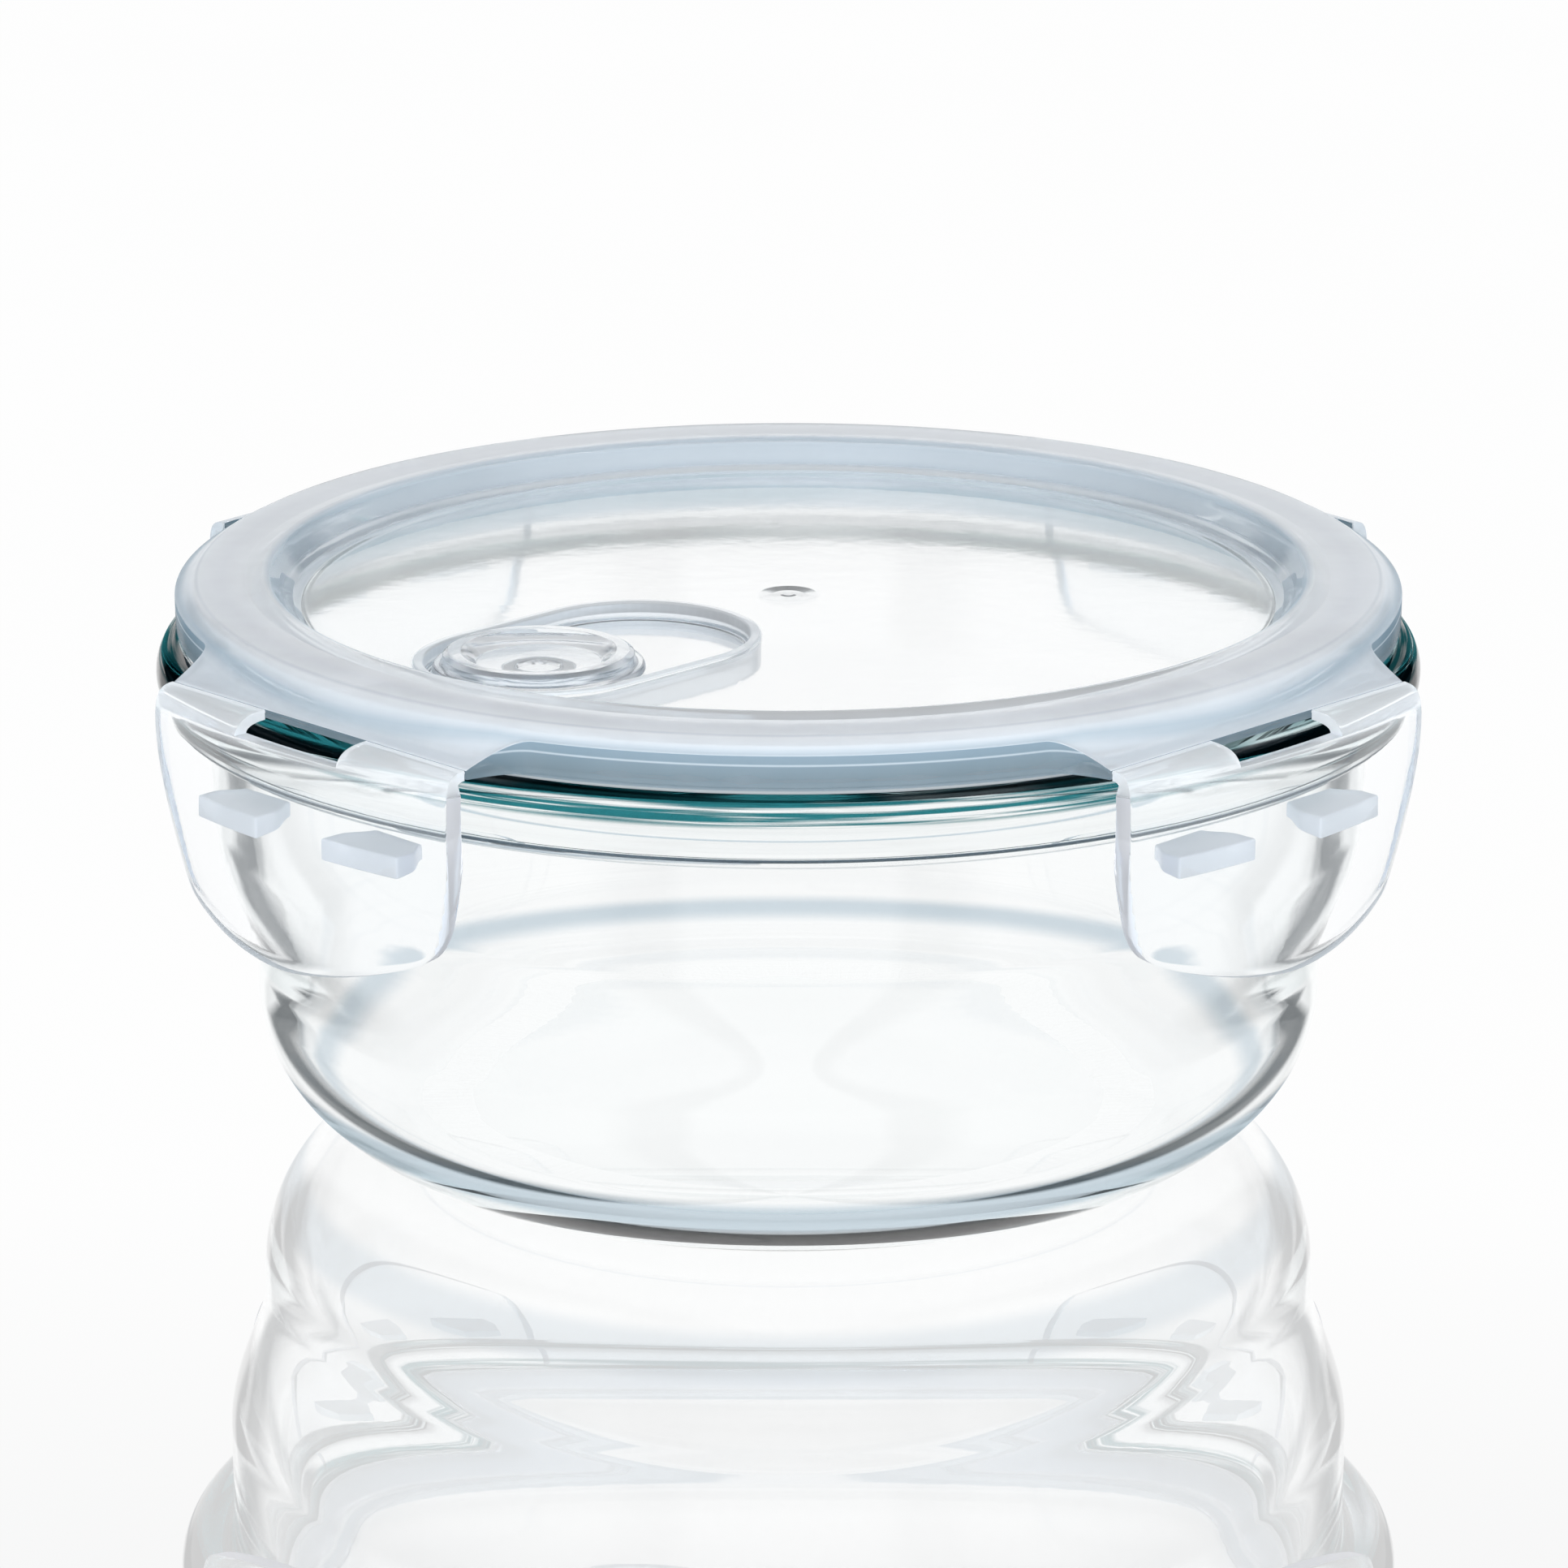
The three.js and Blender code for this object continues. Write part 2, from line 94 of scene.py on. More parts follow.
LID_TOP = lid_high.z
LID_RADIUS = lid_high.x
LID_WALL_BOTTOM = 70.8
SKIRT_BOTTOM = lid_low.z
SKIRT_RADIUS = 71.9
LID_SKIN = 1.6
LID_WALL = 2.6  # the ring's outer wall, outside the gasket channel
RING_EDGE_DROP = 2.3  # the ring's crown starts this much below the lid's top
CROWN_FALL = 1.7  # exponent of the crown's curve from the edge to the shoulder
CROWN_SHARES = (0.12, 0.3, 0.5, 0.7, 0.88)
SHOULDER_WIDTH = 3.1
SHOULDER_DROP = 0.5  # the ring's flat top lies this much below its inner crest
PANEL_TOP = 73.6
PANEL_RADIUS = 66.2
RECESS_RADIUS = 69.7
CHANNEL_TOP = 75.8
GATE_RADIUS = 3.7
GATE_DEPTH = 0.14
GATE_NUB_RADIUS = 0.7
GATE_NUB_DROP = 0.06

HINGE_DISTANCE = 84.1
HINGE_HEIGHT = 72.9
HINGE_HALF_WIDTH = 27.9
HINGE_EDGE = 1.3
HINGE_GAP = 0.3
HINGE_MIDDLE = HINGE_DISTANCE + HINGE_GAP / 2
FLAP_SIDE_LENGTH = 24.4
FLAP_BOTTOM_BOW = 6.6
FLAP_THICKNESS = 2.4
FLAP_BULGE_MIDDLE, FLAP_BULGE_SIDE = 6.7, 3.6
FLAP_TUCK_SIDE = 2.5
FLAP_NARROWING = 0.07
FLAP_BOW_WIDTH, FLAP_BOW_FULLNESS = 1.7, 0.9
FLAP_CORNER = 5.0
FLAP_SHOULDER = 1.2
SLOT_HALF_WIDTH = 9.7
SLOT_DEPTH = 2.4
SLOT_CUT_WIDTH = 12.0  # the block that cuts the slot, and how far out it sits
SLOT_CUT_OFFSET = 3.0
FLAP_THICKENING = 3.0  # full thickness is reached this far below the hinge
FLAP_ROW_SPACING = 1.8  # exponent that packs the rows of faces towards the hinge
FLAP_COLUMNS, FLAP_ROWS = 56, 48
FLAP_BEVEL, CATCH_BEVEL = 0.35, 0.3
EDGE_FACING = 0.75  # a face that points outwards less than this belongs to the flap's edge

CATCH_FROM, CATCH_TO = 6.1, 18.7
CATCH_TIP = 80.8
CATCH_TOP = 60.4
CATCH_ROOT_BOTTOM, CATCH_TIP_BOTTOM = 57.5, 58.4
CATCH_CHAMFER = 2.0
CATCH_ROOT_GAP = 0.05  # the root starts this far in from the flap's inner face

WEB_HALF_WIDTH = 0.75
WEB_END_MARGIN = 0.25
WEB_THICKNESS = 0.35
WEB_TOP_DROP = 0.15
WEB_FOLD_DEPTH = 0.12
WEB_FOLD_NARROWNESS = 6

GASKET_INNER, GASKET_OUTER = 73.0, 79.2
LIP_WIDTH, LIP_BASE, LIP_HEIGHT = 1.4, 2.1, 1.2
GASKET_CORNER, LIP_ROOT_FILLET = 0.3, 0.4

WELL_RADIUS = 16.4
WELL_WALL = 1.35
WELL_OUTER_CENTRE, WELL_INNER_CENTRE = 45.9, 28.3
WELL_FLOOR_TOP, WELL_FLOOR_BOTTOM = 71.9, 70.4
WELL_SKIRT_BOTTOM = 68.0
WELL_LIP = 0.25
WELL_OVERLAP = 1.5  # the well's floor reaches this far in from its wall
VENT_HOLE_RADIUS = 5.0
CAP_RADIUS = 14.0
CAP_STEM_RADIUS = 3.0
CAP_HEAD_RADIUS = 4.1
CAP_HEAD_HEIGHT = 0.7
CAP_RIM_HEIGHT = 73.4
CAP_RIM_WIDTH = 1.3
GRIP_RING_OUTER, GRIP_RING_INNER = 2.2, 3.8  # how far in from the cap's edge the ring's top lies
CAP_DISH_EDGE = 5.8
CUT_FROM, CUT_TO = 60, 90  # heights that a cutting tool reaches between

FLAPS = {"front_left": 225, "front_right": 315, "back_right": 45, "back_left": 135}
VENT_ANGLE = math.radians(FLAPS["front_left"])
SECTOR_HALF_ANGLE = 45  # each flap's share of the lid, to either side of its middle

RING_SEGMENTS, CAP_SEGMENTS, SMALL_SEGMENTS = 288, 96, 64
SHARP_ANGLE, BEVEL_SHARP_ANGLE = 40, 50  # edges bent more than this are drawn sharp
BEVEL_ANGLE = 35
BEVEL_SEGMENTS = 3
MERGE_DISTANCE = 1e-7


# ---- Mesh helpers ----------------------------------------------------------------------------
def lerp(a, b, share):
    return a + (b - a) * share


def smoothstep(low, high, value):
    share = min(max((value - low) / (high - low), 0.0), 1.0)
    return share * share * (3 - 2 * share)


def filleted(corners, steps=4):
    """A polyline of (x, y, fillet radius) corners as points, with each corner rounded."""
    points = []
    count = len(corners)
    for i, (x, y, radius) in enumerate(corners):
        here = Vector((x, y))
        if radius == 0 or i in (0, count - 1):
            points.append((x, y))
            continue
        before = Vector(corners[i - 1][:2]) - here
        after = Vector(corners[i + 1][:2]) - here
        angle = before.angle(after)
        reach = min(radius / math.tan(angle / 2), before.length * 0.49, after.length * 0.49)
        start = here + before.normalized() * reach
        end = here + after.normalized() * reach
        for step in range(steps + 1):
            share = step / steps
            a = start.lerp(here, share)
            b = here.lerp(end, share)
            points.append(tuple(a.lerp(b, share)))
    return points


def arc(centre, radii, start, end, count):
    """Points on an arc or ellipse between two angles in degrees."""
    angles = [math.radians(lerp(start, end, i / count)) for i in range(count + 1)]
    return [
        (centre[0] + radii[0] * math.cos(angle), centre[1] + radii[1] * math.sin(angle))
        for angle in angles
    ]


def shade(piece, sharp):
    """Shades smooth, with edges sharper than the angle in degrees left crisp."""
    piece.data.shade_smooth()
    piece.data.set_sharp_from_angle(angle=math.radians(sharp))


def mesh_object(name, vertices, faces):
    """An object from millimetre vertices, shaded smooth up to the sharp angle."""
    mesh = bpy.data.meshes.new(name)
    mesh.from_pydata([[c * MM for c in v] for v in vertices], [], faces)
    tidy = bmesh.new()
    tidy.from_mesh(mesh)
    bmesh.ops.remove_doubles(tidy, verts=tidy.verts, dist=MERGE_DISTANCE)
    bmesh.ops.recalc_face_normals(tidy, faces=tidy.faces)
    tidy.to_mesh(mesh)
    tidy.free()
    piece = bpy.data.objects.new(name, mesh)
    shade(piece, SHARP_ANGLE)
    bpy.context.scene.collection.objects.link(piece)
    return piece


def swept_rings(name, rings):
    """A closed surface through rings of equal length. A ring drawn as one point is a pole."""
    vertices, starts = [], []
    for ring in rings:
        starts.append(len(vertices))
        vertices.extend(ring)
    faces = []
    for k in range(len(rings) - 1):
        a, b = starts[k], starts[k + 1]
        count = max(len(rings[k]), len(rings[k + 1]))
        for i in range(count):
            j = (i + 1) % count
            if len(rings[k]) == 1:
                faces.append((a, b + i, b + j))
            elif len(rings[k + 1]) == 1:
                faces.append((a + i, b, a + j))
            else:
                faces.append((a + i, b + i, b + j, a + j))
    return mesh_object(name, vertices, faces)


def turned(name, profile, segments, centre=(0, 0), closed=False):
    """A (radius, height) profile turned about a vertical axis."""
    points = list(profile)
    if closed:
        points.append(points[0])
    rings = []
    for radius, height in points:
        if radius < 1e-6:
            rings.append([(centre[0], centre[1], height)])
            continue
        angles = [2 * math.pi * i / segments for i in range(segments)]
        ring = [
            (centre[0] + radius * math.cos(a), centre[1] + radius * math.sin(a), height)
            for a in angles
        ]
        rings.append(ring)
    return swept_rings(name, rings)


def slab(name, face_out, face_in, columns, rows):
    """A closed slab between two sheets, each a function of u and v from 0 to 1."""
    vertices = []
    for sheet in (face_out, face_in):
        for j in range(rows + 1):
            for i in range(columns + 1):
                vertices.append(sheet(i / columns, j / rows))
    layer = (columns + 1) * (rows + 1)

    def at(side, i, j):
        return side * layer + j * (columns + 1) + i

    faces = []
    for j in range(rows):
        for i in range(columns):
            faces.append((at(0, i, j), at(0, i + 1, j), at(0, i + 1, j + 1), at(0, i, j + 1)))
            faces.append((at(1, i, j), at(1, i, j + 1), at(1, i + 1, j + 1), at(1, i + 1, j)))
    for i in range(columns):
        for j in (0, rows):
            faces.append((at(0, i, j), at(1, i, j), at(1, i + 1, j), at(0, i + 1, j)))
    for j in range(rows):
        for i in (0, columns):
            faces.append((at(0, i, j), at(0, i, j + 1), at(1, i, j + 1), at(1, i, j)))
    return mesh_object(name, vertices, faces)


def apply_modifiers(piece):
    """Replaces the piece's mesh with the result of its modifiers."""
    graph = bpy.context.evaluated_depsgraph_get()
    result = bpy.data.meshes.new_from_object(piece.evaluated_get(graph))
    result.materials.clear()
    piece.modifiers.clear()
    piece.data = result


def combine(piece, tool, operation):
    """Cuts the tool out of the piece, or joins it on, and removes the tool."""
    modifier = piece.modifiers.new("combine", "BOOLEAN")
    modifier.operation = operation
    modifier.solver = "MANIFOLD"
    modifier.object = tool
    apply_modifiers(piece)
    bpy.data.objects.remove(tool)


def bevelled(piece, width):
    modifier = piece.modifiers.new("bevel", "BEVEL")
    modifier.width = width * MM
    modifier.segments = BEVEL_SEGMENTS
    modifier.limit_method = "ANGLE"
    modifier.angle_limit = math.radians(BEVEL_ANGLE)
    apply_modifiers(piece)
    shade(piece, BEVEL_SHARP_ANGLE)
    return piece


# ---- Materials -------------------------------------------------------------------------------
PAINTED_NECK_LINE = RIM_HEIGHT - 1.55 * BEAD_RADIUS  # height of a painted dark reflection line low on the bead

# The lid's colour against the distance from its axis, in millimetres: its own pale blue-grey with
# painted shade bands and painted highlight bands. Below it, its haze.
LID_TINTS_AND_SHADING = (
    (0.0, (0.80, 0.82, 0.85)),
    (62.0, (0.90, 0.93, 0.95)),
    (67.0, (0.66, 0.74, 0.80)),
    (69.4, (0.46, 0.57, 0.65)),
    (70.6, (0.90, 0.91, 0.93)),
    (76.0, (0.80, 0.82, 0.86)),
    (79.1, (0.84, 0.86, 0.89)),
    (79.3, (0.58, 0.63, 0.68)),
    (79.6, (0.86, 0.88, 0.91)),
    (80.9, (0.74, 0.79, 0.84)),
    (81.7, (0.42, 0.52, 0.60)),
    (82.4, (0.50, 0.59, 0.66)),
    (83.4, (0.80, 0.84, 0.89)),
    (88.0, (0.84, 0.87, 0.92)),
)
LID_HAZE = (
    (0.0, 0.14),
    (3.8, 0.14),
    (4.4, 0.01),
    (62.0, 0.01),
    (66.5, 0.12),
    (69.5, 0.42),
    (72.0, 0.48),
    (88.0, 0.48),
)
# The outer wall's colour against its height: painted shade for the dark channel seen through it,
# with painted highlight lines across it.
WALL_PAINTED_SHADING = (
    (70.7, (0.40, 0.46, 0.50)),
    (71.0, (0.13, 0.19, 0.23)),
    (72.4, (0.07, 0.12, 0.15)),
    (74.2, (0.10, 0.17, 0.22)),
    (74.4, (0.45, 0.53, 0.59)),
    (74.6, (0.12, 0.20, 0.26)),
    (75.9, (0.14, 0.23, 0.30)),
    (76.6, (0.45, 0.53, 0.59)),
)
WELL_HAZE = 0.6
WALL_HAZE = 0.8

WHITE = (1, 1, 1)
TEAL = (0.03, 0.22, 0.25)
# Colour of the painted dark reflection line low on the bead.
PAINTED_NECK_REFLECTION_COLOUR = (0.22, 0.26, 0.29)
# Colour of the painted shade in the glass's bottom corner.
CORNER_PAINTED_SHADE = (0.62, 0.70, 0.76)
MILKY_FLAP = (0.90, 0.93, 0.96)
MILKY_CATCH = (0.93, 0.95, 0.98)
MILKY_VENT = (0.85, 0.88, 0.92)
GREY_SILICONE = (0.36, 0.39, 0.41, 1)
# How shadow rays are tinted on their way through.
GLASS_SHADOW = (0.93, 0.97, 0.97)
PLASTIC_SHADOW = (0.9, 0.92, 0.94)
SILICONE_SHADOW = (0.6, 0.63, 0.66)
# Colour and density of the light absorbed inside.
GLASS_ABSORPTION = ((0.30, 0.78, 0.80), 3)
PLASTIC_ABSORPTION = (0.55, 0.72, 0.86)
GLASS_IOR, PLASTIC_IOR, SILICONE_IOR = 1.52, 1.46, 1.41

TEAL_FROM = RIM_HEIGHT - 0.62 * BEAD_RADIUS  # the teal fades in between these heights
TEAL_FULL = RIM_HEIGHT - 0.45 * BEAD_RADIUS
STREAK_SCALE, STREAK_SQUASH = 30, 80
CORNER_SHADE_BAND = ((6.0, 8.0), (11.0, 13.0))  # the painted grey shade in the bottom corner fades in and out between these heights
CORNER_SHADE_RADII = (61.0, 64.0)
CRUMPLE = (HINGE_HEIGHT - 4.5, HINGE_HEIGHT - 2.0)  # the flap turns milky between these heights
FLAP_HAZE, CRUMPLE_HAZE = 0.04, 0.4
THROUGH_SHARE = 0.4  # share of the milky light that comes through from behind
PAINTED_NECK_LINE_EDGES = ((-0.4, -0.3), (0.1, 0.3))  # fades below and above the painted dark reflection line
STREAK_LEVELS = ((0.38, 0.0), (0.52, 1.0))
CLOUD_LEVELS = ((0.3, 0.85), (0.7, 1.0))
TABLE_LEVELS = ((0.3, 0.975), (0.7, 0.985))
# Noise in features per metre and its detail, then the bump's strength and its depth in mm.
RIPPLE = ((60, 1.0), (0.03, 0.25))
ORANGE_PEEL = ((260, 2.0), (0.04, 0.2))
GRAIN = ((900, 2.0), (0.1, 0.05))
CLOUD_NOISE = (70, 3.0)
TABLE_NOISE = (6, 2.0)
# Each moulding's roughness and the density of its absorption.
FLAP_FINISH, LID_FINISH = (0.02, 8), (0.05, 8)
CATCH_FINISH, VENT_FINISH = (0.25, 10), (0.02, 14)
CATCH_HAZE, VENT_HAZE = 0.65, 0.08


class Nodes:
    """A node tree of a material, or of the world, with short helpers."""

    def __init__(self, name, owner=None):
        self.material = owner or bpy.data.materials.new(name)
        self.material.use_nodes = True
        self.tree = self.material.node_tree
        self.tree.nodes.clear()
        self.output = self.add("ShaderNodeOutputWorld" if owner else "ShaderNodeOutputMaterial")

    def add(self, kind, **settings):
        node = self.tree.nodes.new(kind)
        for key, value in settings.items():
            if key in node.inputs:
                node.inputs[key].default_value = value
            else:
                setattr(node, key, value)
        return node

    def link(self, source, target):
        self.tree.links.new(source, target)

    def feed(self, value, socket):
        """Links a socket, or sets a number or a colour."""
        if isinstance(value, bpy.types.NodeSocket):
            self.link(value, socket)
        else:
            socket.default_value = (*value, 1) if isinstance(value, tuple) else value

    def maths(self, operation, a, b=0.0):
        node = self.add("ShaderNodeMath", operation=operation)
        for socket, value in zip(node.inputs, (a, b)):
            self.feed(value, socket)
        return node.outputs[0]

    def product(self, first, *others):
        for other in others:
            first = self.maths("MULTIPLY", first, other)
        return first

    def mix(self, factor, first, second):
        node = self.add("ShaderNodeMixShader")
        self.feed(factor, node.inputs[0])
        self.link(first, node.inputs[1])
        self.link(second, node.inputs[2])
        return node.outputs[0]

    def ramp(self, value, *stops):
        """Follows (position, level) stops from 0 to 1. A level is a grey or a colour."""
        node = self.add("ShaderNodeValToRGB")
        self.link(value, node.inputs[0])
        elements = node.color_ramp.elements
        while len(elements) < len(stops):
            elements.new(0.5)
        for element, (position, level) in zip(elements, stops):
            element.position = position
            element.color = (*level, 1) if isinstance(level, tuple) else (level, level, level, 1)
        return node.outputs[0]

    def stops(self, value, stops):
        """Like ramp, for stops placed at any rising values."""
        low, high = stops[0][0], stops[-1][0]
        share = self.add("ShaderNodeMapRange")
        self.link(value, share.inputs[0])
        share.inputs[1].default_value = low
        share.inputs[2].default_value = high
        scaled = [((place - low) / (high - low), level) for place, level in stops]
        return self.ramp(share.outputs[0], *scaled)

    def blend_colours(self, factor, first, second):
        node = self.add("ShaderNodeMix", data_type="RGBA")
        self.link(factor, node.inputs["Factor"])
        self.feed(first, node.inputs[6])
        self.feed(second, node.inputs[7])
        return node.outputs[2]

    def multiply_colours(self, first, second):
        node = self.add("ShaderNodeMix", data_type="RGBA", blend_type="MULTIPLY")
        node.inputs["Factor"].default_value = 1.0
        self.link(first, node.inputs[6])
        self.link(second, node.inputs[7])
        return node.outputs[2]

    def in_part(self):
        """Coordinates in the part's frame, in metres."""
        return self.add("ShaderNodeTexCoord").outputs["Object"]

    def split(self, vector):
        apart = self.add("ShaderNodeSeparateXYZ")
        self.link(vector, apart.inputs[0])
        return apart.outputs

    def streaks(self, scale, squash):
        """Noise drawn out sideways: it changes faster with height than round the object."""
        stretch = self.add("ShaderNodeMapping")
        stretch.inputs["Scale"].default_value = (1, 1, squash)
        self.link(self.in_part(), stretch.inputs["Vector"])
        node = self.add("ShaderNodeTexNoise", Scale=scale, Detail=2.0)
        self.link(stretch.outputs[0], node.inputs["Vector"])
        return node.outputs[0]

    def rough_skin(self, noise, bump):
        """The bump of a noise, from the pairs of numbers that describe them."""
        return self.bump(self.noise(*noise), *bump)

    def bump(self, height, strength, distance):
        node = self.add("ShaderNodeBump", Strength=strength, Distance=distance * MM)
        self.link(height, node.inputs["Height"])
        return node.outputs[0]

    def noise(self, scale, detail):
        """Noise in the part's frame. The scale is in features per metre."""
        node = self.add("ShaderNodeTexNoise", Scale=scale, Detail=detail)
        self.link(self.in_part(), node.inputs["Vector"])
        return node.outputs[0]

    def position(self):
        """Coordinates in the part's frame, in millimetres."""
        return [self.maths("MULTIPLY", metres, 1 / MM) for metres in self.split(self.in_part())]

    def length(self, x, y):
        squares = [self.maths("MULTIPLY", value, value) for value in (x, y)]
        return self.maths("SQRT", self.maths("ADD", *squares))

    def radius(self):
        """Distance from the container's axis, in millimetres."""
        x, y, _ = self.position()
        return self.length(x, y)

    def facing_up(self):
        """The height of the surface's unit normal, in the part's frame."""
        return self.split(self.add("ShaderNodeNewGeometry").outputs["True Normal"])[2]

    def well_distance(self):
        """Distance from the middle line of the vent well, in millimetres."""
        x, y, _ = self.position()
        cosine, sine = math.cos(VENT_ANGLE), math.sin(VENT_ANGLE)
        along, across = (
            self.maths("ADD", self.maths("MULTIPLY", x, a), self.maths("MULTIPLY", y, b))
            for a, b in ((cosine, sine), (-sine, cosine))
        )
        nearest = self.maths("MINIMUM", along, WELL_OUTER_CENTRE)
        nearest = self.maths("MAXIMUM", nearest, WELL_INNER_CENTRE)
        return self.length(self.maths("SUBTRACT", along, nearest), across)

    def between(self, value, low, high, at_low, at_high):
        """The value mapped from low and high to two levels, and held outside them."""
        node = self.add("ShaderNodeMapRange", interpolation_type="SMOOTHSTEP")
        self.link(value, node.inputs[0])
        for index, level in enumerate((low, high, at_low, at_high), 1):
            node.inputs[index].default_value = level
        return node.outputs[0]

    def finish(self, surface, shadow, absorb=None):
        """The surface, except that shadow rays pass straight through and take the shadow colour.

        Absorb is a colour and a density for the light that travels inside.
        """
        clear = self.add("ShaderNodeBsdfTransparent", Color=(*shadow, 1)).outputs[0]
        path = self.add("ShaderNodeLightPath")
        self.link(self.mix(path.outputs["Is Shadow Ray"], surface, clear), self.output.inputs[0])
        if absorb:
            colour, density = absorb
            volume = self.add("ShaderNodeVolumeAbsorption", Color=(*colour, 1), Density=density)
            self.link(volume.outputs[0], self.output.inputs["Volume"])
        return self.material


def glass_material():
    """Pressed glass: clear through the wall, teal streaks along the top of the bead, a painted dark
    reflection line low on the bead, and a faint painted blue-grey shade in the bottom corner, for
    the shaded table seen through it.
    """
    nodes = Nodes("clear_glass")
    ripple = nodes.rough_skin(*RIPPLE)
    height = nodes.position()[2]
    radius = nodes.radius()
    crest = nodes.between(height, TEAL_FROM, TEAL_FULL, 0.0, 1.0)
    streak = nodes.ramp(nodes.streaks(STREAK_SCALE, STREAK_SQUASH), *STREAK_LEVELS)
    teal = nodes.blend_colours(nodes.product(crest, streak), WHITE, TEAL)
    # The dark line low on the bead is a painted dark reflection. It fades in and out with height,
    # and shows only on the bead's outer side.
    fade_in, fade_out = ([PAINTED_NECK_LINE + edge for edge in fade] for fade in PAINTED_NECK_LINE_EDGES)
    under_low = nodes.between(height, *fade_in, 0.0, 1.0)
    under_high = nodes.between(height, *fade_out, 1.0, 0.0)
    outermost = nodes.between(radius, BEAD_CENTRE + 1, BEAD_CENTRE + 2, 0.0, 1.0)
    line = nodes.product(under_low, under_high, outermost)
    painted_dark_line = nodes.blend_colours(line, WHITE, PAINTED_NECK_REFLECTION_COLOUR)
    # The blue-grey in the bottom corner is painted shade, for the shaded table seen through the
    # glass. It is painted on entering surfaces only.
    corner_low = nodes.between(height, *CORNER_SHADE_BAND[0], 0.0, 1.0)
    corner_high = nodes.between(height, *CORNER_SHADE_BAND[1], 1.0, 0.0)
    outer_side = nodes.between(radius, *CORNER_SHADE_RADII, 0.0, 1.0)
    back_facing = nodes.add("ShaderNodeNewGeometry").outputs["Backfacing"]
    entering = nodes.maths("SUBTRACT", 1.0, back_facing)
    corner = nodes.product(corner_high, corner_low, outer_side, entering)
    grey = nodes.blend_colours(corner, WHITE, CORNER_PAINTED_SHADE)
    tint = nodes.multiply_colours(nodes.multiply_colours(teal, grey), painted_dark_line)
    glass = nodes.add("ShaderNodeBsdfGlass", Roughness=0.0, IOR=GLASS_IOR)
    nodes.link(tint, glass.inputs["Color"])
    nodes.link(ripple, glass.inputs["Normal"])
    return nodes.finish(glass.outputs[0], GLASS_SHADOW, GLASS_ABSORPTION)


def clear_plastic(nodes, haze, tint, roughness, density):
    """Clear polypropylene: glassy plastic with a milky haze, finished as a material.

    Haze is a number or a socket, and tint is a colour or a socket.
    """
    orange_peel = nodes.rough_skin(*ORANGE_PEEL)
    clear = nodes.add("ShaderNodeBsdfGlass", Roughness=roughness, IOR=PLASTIC_IOR)
    nodes.feed(WHITE, clear.inputs["Color"])
    nodes.link(orange_peel, clear.inputs["Normal"])
    diffuse = nodes.add("ShaderNodeBsdfDiffuse")
    through = nodes.add("ShaderNodeBsdfTranslucent")
    for scatter in (diffuse, through):
        nodes.feed(tint, scatter.inputs["Color"])
    milky = nodes.mix(THROUGH_SHARE, diffuse.outputs[0], through.outputs[0])
    cloud = nodes.ramp(nodes.noise(*CLOUD_NOISE), *CLOUD_LEVELS)
    surface = nodes.mix(nodes.product(cloud, haze), clear.outputs[0], milky)
    return nodes.finish(surface, PLASTIC_SHADOW, (PLASTIC_ABSORPTION, density))


def flap_material():
    """The flap's plastic: clear, but milky along the shoulder under the hinge."""
    nodes = Nodes("flap_plastic")
    haze = nodes.between(nodes.position()[2], *CRUMPLE, FLAP_HAZE, CRUMPLE_HAZE)
    return clear_plastic(nodes, haze, MILKY_FLAP, *FLAP_FINISH)


def lid_material():
    """The lid's plastic: clear on the panel, milky on the ring, aprons and vent well.

    The ring's bands of colour are partly its own pale blue-grey and partly painted shade and
    painted highlights. The outer wall is painted slate blue: painted shade for the dark channel
    seen through it, with painted light lines across it.
    """
    nodes = Nodes("lid_plastic")
    radius = nodes.radius()
    height = nodes.position()[2]
    # The wall mask marks the outer wall. There, painted slate shade and painted light lines replace
    # the ring's colour, and the haze is raised to show them.
    low_part = nodes.between(height, LID_TOP - 1.9, LID_TOP - 1.4, 1.0, 0.0)
    wall_side = nodes.between(radius, LID_RADIUS - 1.6, LID_RADIUS - 1.0, 0.0, 1.0)
    upright = nodes.between(nodes.facing_up(), 0.2, 0.45, 1.0, 0.0)
    wall = nodes.product(low_part, wall_side, upright)
    # The ring's colour: its own pale blue-grey, with painted shade and painted highlight bands by
    # radius.
    ring_tint_and_shading = nodes.stops(radius, LID_TINTS_AND_SHADING)
    tint = nodes.blend_colours(wall, ring_tint_and_shading, nodes.stops(height, WALL_PAINTED_SHADING))
    wall_middle = WELL_RADIUS - WELL_WALL / 2
    off_wall = nodes.maths("ABSOLUTE", nodes.maths("SUBTRACT", nodes.well_distance(), wall_middle))
    well = nodes.between(off_wall, WELL_WALL * 0.45, WELL_WALL * 0.75, WELL_HAZE, 0.0)
    moulded = nodes.maths("MAXIMUM", nodes.stops(radius, LID_HAZE), well)
    haze = nodes.maths("MAXIMUM", moulded, nodes.product(wall, WALL_HAZE))
    return clear_plastic(nodes, haze, tint, *LID_FINISH)


def silicone_material():
    """Translucent grey silicone with a satin skin."""
    nodes = Nodes("silicone")
    grain = nodes.rough_skin(*GRAIN)
    settings = {
        "Base Color": GREY_SILICONE,
        "Roughness": 0.42,
        "Transmission Weight": 0.25,
        "IOR": SILICONE_IOR,
    }
    skin = nodes.add("ShaderNodeBsdfPrincipled", **settings)
    nodes.link(grain, skin.inputs["Normal"])
    return nodes.finish(skin.outputs[0], SILICONE_SHADOW)


# ---- Glass bowl ------------------------------------------------------------------------------
def outer_wall_radius(height):
    return lerp(WAIST_RADIUS, WALL_TOP_RADIUS, smoothstep(FLARE_LOW, FLARE_HIGH, height))


